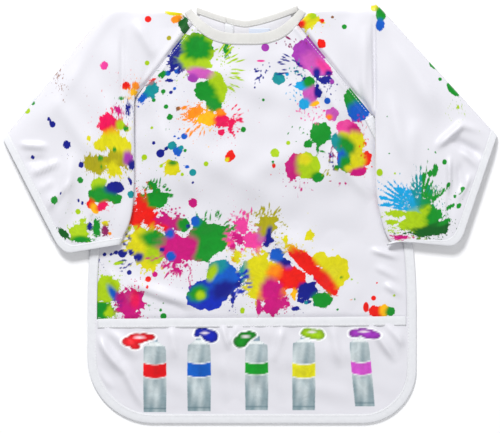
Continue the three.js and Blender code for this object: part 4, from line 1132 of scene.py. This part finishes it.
def sleeve_heights(side, x, y, u, v, upper):
    """The upper layer arches over the lower one, and both meet in rounded folds."""
    over_body = (1 - smooth(np.abs(x), side["hem"] + 6, side["hem"] + 28)) * (
        1 - smooth(y, side["armpit"][1] + 14, side["armpit"][1] + 40)
    )
    low = mix(SLEEVE_LOW, 4.9, over_body * smooth(v, HEAD_AT * 0.6, HEAD_AT * 1.3))
    swell = np.clip(1 - (2 * u - 1) ** 12, 0, 1) ** 0.5
    middle = low + FOLD_PLIES / 2
    if not upper:
        return middle - FOLD_PLIES / 2 * np.clip(swell * 1.6, 0, 1)
    lift = mix(SLEEVE_HIGH - 3.2, SLEEVE_HIGH, smooth(v, 0, 0.5)) - middle
    free = smooth(np.minimum(u, 1 - u), 0.02, 0.14) * smooth(v, 0.03, 0.12) * (1 - smooth(v, 0.93, 0.99))
    arm = middle + lift * (0.8 * swell + 0.2 * np.sin(np.pi * np.clip(u, 0, 1)))
    seed = 22 if side["sign"] < 0 else 21
    arm = arm + (folds(x, y, SLEEVE_FOLDS[side["name"]]) + ripple(x, y, seed, 48, 1.0)) * free
    seam = panel_height(x, y) + PLY + raglan_dip(x, y, side)
    at_seam = np.maximum(seam, middle)
    return mix(at_seam, arm, smooth(v, 0.0, HEAD_AT * 0.75))


def sleeve_rings(side):
    """Rings of points from raglan seam to cuff, each over the upper layer from underarm to
    shoulder and back under the lower one."""
    front, back = sleeve_plan(side)
    ease = (1 - np.cos(np.linspace(0, math.pi, ACROSS + 1))) / 2
    us = mix(np.linspace(0, 1, ACROSS + 1), ease, 0.55)
    vs = np.linspace(0, 1, ALONG + 1)
    layers = []
    for plan, upper, part in ((front, True, us), (back, False, us[-2:0:-1])):
        u, v = np.meshgrid(part, vs)
        place = plan(u, v)
        x, y = place[..., 0], place[..., 1]
        layers.append(np.stack([x, y, sleeve_heights(side, x, y, u, v, upper)], -1))
    return np.concatenate(layers, 1)


def sleeve(side):
    """One sleeve with its cuff tape and stitches."""
    name, sign = side["name"], side["sign"]
    rings = sleeve_rings(side)
    count, around = rings.shape[:2]
    girth = np.linalg.norm(np.diff(rings, axis=1, append=rings[:, :1]), axis=2)
    across = np.concatenate([np.zeros((count, 1)), np.cumsum(girth, 1)], 1)
    faces, uvs = [], []
    down = np.linspace(0, SLEEVE_LENGTH, count)
    for r in range(count - 1):
        for k in range(around):
            face = [(r, k), (r, k + 1), (r + 1, k + 1), (r + 1, k)]
            if sign < 0:
                face.reverse()
            faces.append([a * around + b % around for a, b in face])
            uvs += [(across[a, b], down[a]) for a, b in face]
    piece = mesh_piece(name + "_sleeve_cloth", rings.reshape(-1, 3), faces, uvs, printed)
    piece.data.materials.append(lining)
    top = piece.data.polygons[(count // 2) * around + ACROSS // 2]
    if top.normal.z < 0:
        piece.data.flip_normals()
    lower = np.tile(np.arange(around) > ACROSS, count)
    shown = rings.reshape(-1, 3)
    low, high = (corner + [BACK_AWAY, 0, 0] for corner in box_of(name + "_sleeve"))
    hidden = random_print(31 if sign < 0 else 32, low, high, 60)
    x = shown[:, 0] + np.where(lower, BACK_AWAY, 0)
    paint(piece, SLEEVE_PRINTS[name] + hidden, 7 if sign < 0 else 8, x, shown[:, 1])
    wall(piece)
    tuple(side["blend"][0])
    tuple(side["blend"][1])
    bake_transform(piece)
    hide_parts(name + "_sleeve_head", name + "_sleeve")

    # The cuff's tape closes on itself round the open end.
    end, before = rings[-1], rings[-5]
    inward = normalised(before - end)
    around_way = normalised(np.roll(end, -2, 0) - np.roll(end, 2, 0))
    upward = normalised(np.cross(inward, around_way) * -1)
    if upward[ACROSS // 2][2] < 0:
        upward = -upward
    closed = lambda values: np.concatenate([values, values[:1]])
    gaps = run_along(closed(end))
    want = np.linspace(0, gaps[-1], int(gaps[-1] / STITCH_PITCH) * 2 + 1)[:-1]
    loop = lambda values: np.stack([np.interp(want, gaps, closed(values)[:, k]) for k in range(3)], 1)
    at, inward, upward = loop(end), normalised(loop(inward)), normalised(loop(upward))
    cuff, run = tape(name + "_cuff_tape", at, inward, upward, PLY, CUFF_TAPE_WIDTH, closed=True)
    tape_facts(
        cuff, name + "_arm", name + "_cuff_binding", piece.name
    )
    seam = at + inward * (CUFF_TAPE_WIDTH - THIN_EDGE - SEAM_INSET) + upward * SEAM_RISE
    stitches(name + "_cuff_stitches", closed(seam), closed(upward), name + "_arm")


for side in (LEFT, RIGHT):
    sleeve(side)

# --- Back flaps ----------------------------------------------------------------------------
# Two flaps of the same cloth cross over at the middle of the back. Their lower edges and ends
# are bound in bias tape, and each is sewn to its sleeve along the back raglan seam.
BACK_HALF, BACK_DROP, BACK_RISE, BACK_POWER, BACK_BAND = 52, 18, 15, 1.4, 7
FLAP_ENDS = {"left": 24, "right": -26}
FLAP_LENGTH, UPPER_FLAP = 108, 3.2
FLAP_BEND = 17  # a width beside the back raglan seam, in millimetres; the span set out with it is not used
FIRST_SHARE = 0.125  # of the flap's top, between the raglan seam and the neck band


def back_neck(t):
    """The top of the back neckline, from its left end at -1 to its right end at 1."""
    return np.stack([
        NECK_MIDDLE + BACK_HALF * t, SHOULDER_Y - BACK_DROP + BACK_RISE * np.abs(t) ** BACK_POWER
    ], -1)


def flap_height(name, x):
    """The right flap climbs over the left one."""
    return PANEL_Z + (UPPER_FLAP - PANEL_Z) * (1 - smooth(x, 30, 70)) * (name == "right")


def flap_map(side):
    """A flap's surface, and where it ends, as a share of the back neckline."""
    name, sign = side["name"], side["sign"]
    armpit = np.array(side["armpit"])
    seam_top = raglan_top(side)
    inside = np.array([-sign * 0.3, -0.3])
    corner = mix(armpit, seam_top, 14 / abs(armpit[0] - seam_top[0])) + inside
    seam_end = seam_top + inside
    end = (FLAP_ENDS[name] - NECK_MIDDLE) / BACK_HALF
    start = (side["seam_x"] - 8 * sign - NECK_MIDDLE) / BACK_HALF
    below = np.array([0, -BACK_BAND + 0.6])
    foot = np.array([FLAP_ENDS[name], SHOULDER_Y - BACK_DROP - FLAP_LENGTH])
    bend = np.array([mix(corner[0], foot[0], 0.4), mix(corner[1], foot[1], 0.75)])
    knots = np.array([0, 0.42, 1])
    fits = [np.polyfit(knots, np.array([corner, bend, foot])[:, k], 2) for k in (0, 1)]

    def top(u):
        u = np.asarray(u, float)
        share = np.clip((u - FIRST_SHARE) / (1 - FIRST_SHARE), 0, 1)
        near_seam = np.clip(u / FIRST_SHARE, 0, 1)[..., None]
        first = mix(seam_end, back_neck(np.array(start)) + below, near_seam)
        return np.where((u < FIRST_SHARE)[..., None], first, back_neck(mix(start, end, share)) + below)

    bottom = lambda u: np.stack([np.polyval(fit, u) for fit in fits], -1)
    left = lambda v: mix(corner, seam_end, np.asarray(v, float)[..., None])
    right = lambda v: mix(foot, top(1.0), np.asarray(v, float)[..., None])
    plan = patch(bottom, top, left, right)

    def surface(u, v):
        place = plan(u, v)
        x, y = place[..., 0], place[..., 1]
        free = smooth(np.minimum(np.minimum(u, 1 - u), 1 - v) * 100, 6, 20) * smooth(v * 100, 8, 20)
        return x, y, flap_height(name, x) + PLY + 0.35 * np.abs(ripple(x, y, 14 + sign, 40, 1.0)) * free

    return surface, end


for side in (LEFT, RIGHT):
    name, sign = side["name"], side["sign"]
    surface, side["flap_end"] = flap_map(side)
    flap = cloth_grid(name + "_back_flap_cloth", 84, 72, surface, printed, lining)
    low, high = box_of(name + "_back_flap")
    paint(flap, random_print(40 + sign, low, high, 30), 5)
    flap.data.flip_normals()  # the printed side faces the table
    wall(flap, offset=1)
    rise = raglan_top(side) - side["armpit"]
    across = np.array([rise[1], -rise[0]]) * -sign / np.linalg.norm(rise)
    span = [(*(side["armpit"] + across * away) * MM, 0) for away in (0.5, FLAP_BEND)]
    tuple(span[0])
    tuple(span[1])
    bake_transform(flap)
    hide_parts(name + "_back_flap")

    us, vs = np.linspace(0.1, 1, 120), np.linspace(0, 0.985, 90)
    foot_line = np.stack(surface(us, np.zeros_like(us)), 1)
    end_line = np.stack(surface(np.ones_like(vs), vs), 1)
    edge_line, _ = resampled(np.concatenate([foot_line, end_line[1:]]), STITCH_PITCH / 2)
    for k in (0, 1):
        edge_line[3:-3, k] = np.convolve(edge_line[:, k], kernel, "valid")
    if sign > 0:
        edge_line = edge_line[::-1]
    edge_line[:, 2] -= PLY
    inward, upward = flat_frames(edge_line)
    bound_edge, run = tape(name + "_flap_tape", edge_line, inward, upward, PLY)
    tape_facts(bound_edge, name + "_back", name + "_flap_binding", flap.name)
    seam = edge_line + inward * (TAPE_WIDTH - THIN_EDGE - SEAM_INSET) + upward * SEAM_RISE
    stitches(name + "_flap_stitches", seam, upward, name + "_back")

# --- Neck bands ----------------------------------------------------------------------------
# A doubled band of plain off-white cloth finishes the neck. Its front part runs from shoulder to
# shoulder, and a part on each back flap opens with the flap.
BAND_TURNS = 6  # points round each folded edge
BAND_STEP = 1.6  # millimetres of cloth from one point of the band's section to the next


def band(name, top, bottom, body, replaced, loft=1.6):
    """A flat-folded band between two lines of points: a closed strip with rounded edges."""
    count = len(top)
    across = normalised(top - bottom)
    along = normalised(np.gradient(bottom, axis=0))
    up = normalised(np.cross(along, across))
    if up[count // 2][2] < 0:
        up = -up
    width = np.linalg.norm(top - bottom, axis=1)
    half = loft / 2
    rows = []
    turns = np.linspace(-math.pi / 2, math.pi / 2, BAND_TURNS)
    for a in turns:  # the folded upper edge
        out = width - half + half * math.cos(a)
        rows.append(bottom + across * out[:, None] + up * half * math.sin(a))
    for share in (0.8, 0.6, 0.4, 0.2):
        crown = 0.22 * math.sin(math.pi * share)
        rows.append(bottom + across * (width * share)[:, None] + up * (half + crown))
    for a in turns[::-1]:
        rows.append(bottom + across * (half - half * math.cos(a)) + up * half * math.sin(a))
    for share in (0.2, 0.4, 0.6, 0.8):
        rows.append(bottom + across * (width * share)[:, None] - up * half)
    points = np.stack(rows, 1)
    around = points.shape[1]
    run = run_along(bottom)
    faces, uvs = [], []
    for r in range(count - 1):
        for k in range(around):
            face = [(r, k), (r + 1, k), (r + 1, k + 1), (r, k + 1)]
            faces.append([a * around + b % around for a, b in face])
            uvs += [(run[a], b * BAND_STEP) for a, b in face]
    for r, ends in ((0, range(around)), (count - 1, range(around - 1, -1, -1))):
        faces.append([r * around + k for k in ends])
        uvs += [(run[r], k * BAND_STEP) for k in ends]
    piece = mesh_piece(name, points.reshape(-1, 3), faces, uvs, band_cloth)
    if piece.data.polygons[(count // 2) * around + BAND_TURNS + 1].normal.z < 0:
        piece.data.flip_normals()
    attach(piece, body)
    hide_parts(replaced)
    return up


# Plain-weave cotton twill folded double: off-white, warmer and duller than the coated cloth.
band_cloth, tree, shader = material("off_white_cotton_twill_band")
uv = node(tree, "UVMap", {"uv_map": "cloth"}).outputs["UV"]
mottle = node(tree, "TexNoise", (), {"Vector": uv}, Scale=220.0, Detail=4.0)
tone = node(
    tree, "Mix", {"data_type": "RGBA"}, {"Factor": mottle.outputs["Fac"]},
    A=linear("#CFCECA"), B=linear("#DCDBD7"),
)
tree.links.new(tone.outputs["Result"], shader.inputs["Base Color"])
shader.inputs["Roughness"].default_value = 0.8
shader.inputs["Sheen Weight"].default_value = 0.15
tree.links.new(weave(tree, 1400.0, 0.00012).outputs["Normal"], shader.inputs["Normal"])

ts = np.linspace(-1, 1, 150)
seam_x, seam_y = neck_seam(ts)
droop = 4.5 * smooth(np.abs(ts), 0.75, 1)
lower = np.stack([seam_x, seam_y - 0.6, PANEL_Z + CHEST_LOFT + 0.5 - droop], 1)
away = normalised(np.stack([-np.gradient(seam_y), np.gradient(seam_x), np.zeros(150)], 1))
upper = lower + away * (mix(11.4, 8, ts**4) + 0.6)[:, None]
upper[:, 2] += 0.5 * np.sin(ts * 9) * (1 - ts**2)
up = band("neck_band_cloth", upper, lower, "body", "neck_band")
seam = lower + away * 1.6 + up * 0.92
stitches("neck_band_stitches", seam[4:-4], up[4:-4], "body")

# The raglan seams are topstitched too, beside the seam.
RAGLAN_POINTS = 60
for side in (LEFT, RIGHT):
    top = raglan_top(side)
    line = mix(np.array(side["armpit"]), top, np.linspace(0.04, 0.97, RAGLAN_POINTS)[:, None])
    rise = top - side["armpit"]
    line = line + np.array([-rise[1], rise[0]]) / np.linalg.norm(rise) * 2.2 * side["sign"]
    z = panel_height(*line.T) + PLY + raglan_dip(*line.T, side) + 0.15
    upward = np.tile([0.0, 0, 1], (RAGLAN_POINTS, 1))
    stitches(
        side["name"] + "_raglan_stitches", np.column_stack([line, z]), upward, "body"
    )

BAND_STARTS = {"left": -56, "right": 50}
for side in (LEFT, RIGHT):
    name, sign = side["name"], side["sign"]
    end = side["flap_end"]
    ts = np.linspace((BAND_STARTS[name] - NECK_MIDDLE) / BACK_HALF, end, 90)
    place = back_neck(ts)
    z = flap_height(name, place[:, 0]) + 0.25
    upper = np.column_stack([place, z])
    lean = np.clip(6 - np.abs(ts - end) * BACK_HALF, 0, 6) * 0.35 * sign  # the end is cut aslant
    lower = np.column_stack([place[:, 0] + lean, place[:, 1] - BACK_BAND, z])
    up = band(
        name + "_back_neck_band_cloth", upper, lower, name + "_back", name + "_back_neck_band",
        loft=1.5,
    )
    seam = mix(lower, upper, 0.2) + up * 0.85
    stitches(name + "_back_band_stitches", seam[3:-3], up[3:-3], name + "_back")

# --- Neck label ----------------------------------------------------------------------------
# A small woven label, folded under at its ends and sewn inside the back neck. It is left blank.
label_low, label_high = box_of("neck_label")


def label_surface(u, v):
    x, y = mix(label_low[0], label_high[0], u), mix(label_low[1], label_high[1], v)
    return x, y, label_low[2] + 0.12 + 0.35 * np.sin(np.pi * u) * (1 - v)


# Damask-woven polyester label: pale blue-grey with fine ribs across it and a slight gloss.
label_weave, tree, shader = material("damask_woven_label")
uv = node(tree, "UVMap", {"uv_map": "cloth"}).outputs["UV"]
ribs = node(
    tree, "TexWave", {"wave_type": "BANDS", "bands_direction": "Y"}, {"Vector": uv},
    Scale=450.0, Distortion=0.3,
)
tone = node(
    tree, "Mix", {"data_type": "RGBA"}, {"Factor": ribs.outputs["Fac"]},
    A=linear("#C9D4E8"), B=linear("#E6ECF6"),
)
tree.links.new(tone.outputs["Result"], shader.inputs["Base Color"])
shader.inputs["Roughness"].default_value = 0.5
tree.links.new(
    node(
        tree, "Bump", (), {"Height": ribs.outputs["Fac"]}, Strength=0.4, Distance=0.0001
    ).outputs["Normal"],
    shader.inputs["Normal"],
)
label = cloth_grid("neck_label_cloth", 40, 24, label_surface, label_weave)
wall(label, 0.25)
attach(label, "right_back")
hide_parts("neck_label")

# --- Hook and loop -------------------------------------------------------------------------
# White nylon tapes close the back: loops on the left flap's upper side, hooks on the right
# flap's underside. Each is a woven ground with its pile standing on it.
nylon, tree, shader = material("white_nylon_hook_and_loop")
fuzz = node(
    tree, "TexNoise", (), {"Vector": node(tree, "TexCoord").outputs["Object"]},
    Scale=1800.0, Detail=3.0,
)
tone = node(
    tree, "Mix", {"data_type": "RGBA"}, {"Factor": fuzz.outputs["Fac"]},
    A=linear("#DDDDDC"), B=linear("#F3F3F2"),
)
tree.links.new(tone.outputs["Result"], shader.inputs["Base Color"])
shader.inputs["Roughness"].default_value = 0.6
shader.inputs["Sheen Weight"].default_value = 0.3
tree.links.new(
    node(
        tree, "Bump", (), {"Height": fuzz.outputs["Fac"]}, Strength=0.5, Distance=0.0002
    ).outputs["Normal"],
    shader.inputs["Normal"],
)
PILE_PITCH = 1.15
for cad_node, body, facing in (
    ("closure_loop_tape", "left_back", 1), ("closure_hook_tape", "right_back", -1),
):
    low, high = box_of(cad_node)
    base = low[2] + 0.05 if facing > 0 else high[2] - 0.05
    ground = cloth_grid(
        cad_node + "_ground", 30, 18,
        lambda u, v: (mix(low[0], high[0], u), mix(low[1], high[1], v), base + facing * 0.1 + 0 * u),
        nylon,
    )
    wall(ground, 0.2, offset=0)
    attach(ground, body)
    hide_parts(cad_node)
    bpy.ops.mesh.primitive_torus_add(
        major_segments=7, minor_segments=4, major_radius=0.3, minor_radius=0.07
    )
    model = bpy.context.object
    ring = np.array([v.co for v in model.data.vertices])[:, [0, 2, 1]]
    ring_faces = [tuple(p.vertices)[::-1] for p in model.data.polygons]
    bpy.data.objects.remove(model)
    points, faces = [], []
    rng = np.random.RandomState(3)
    for x in np.arange(low[0] + 1, high[0] - 0.5, PILE_PITCH):
        for y in np.arange(low[1] + 1, high[1] - 0.5, PILE_PITCH):
            turn = rng.uniform(0, math.pi)
            c, s = math.cos(turn), math.sin(turn)
            spun = ring @ np.array([[c, s, 0], [-s, c, 0], [0, 0, 1]])
            start = len(points)
            points.extend(spun * [1, 1, 0.8] + [x, y, base + facing * 0.28])
            faces.extend(tuple(start + i for i in f) for f in ring_faces)
    pile = mesh_piece(cad_node + "_pile", points, faces, None, nylon)
    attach(pile, body)
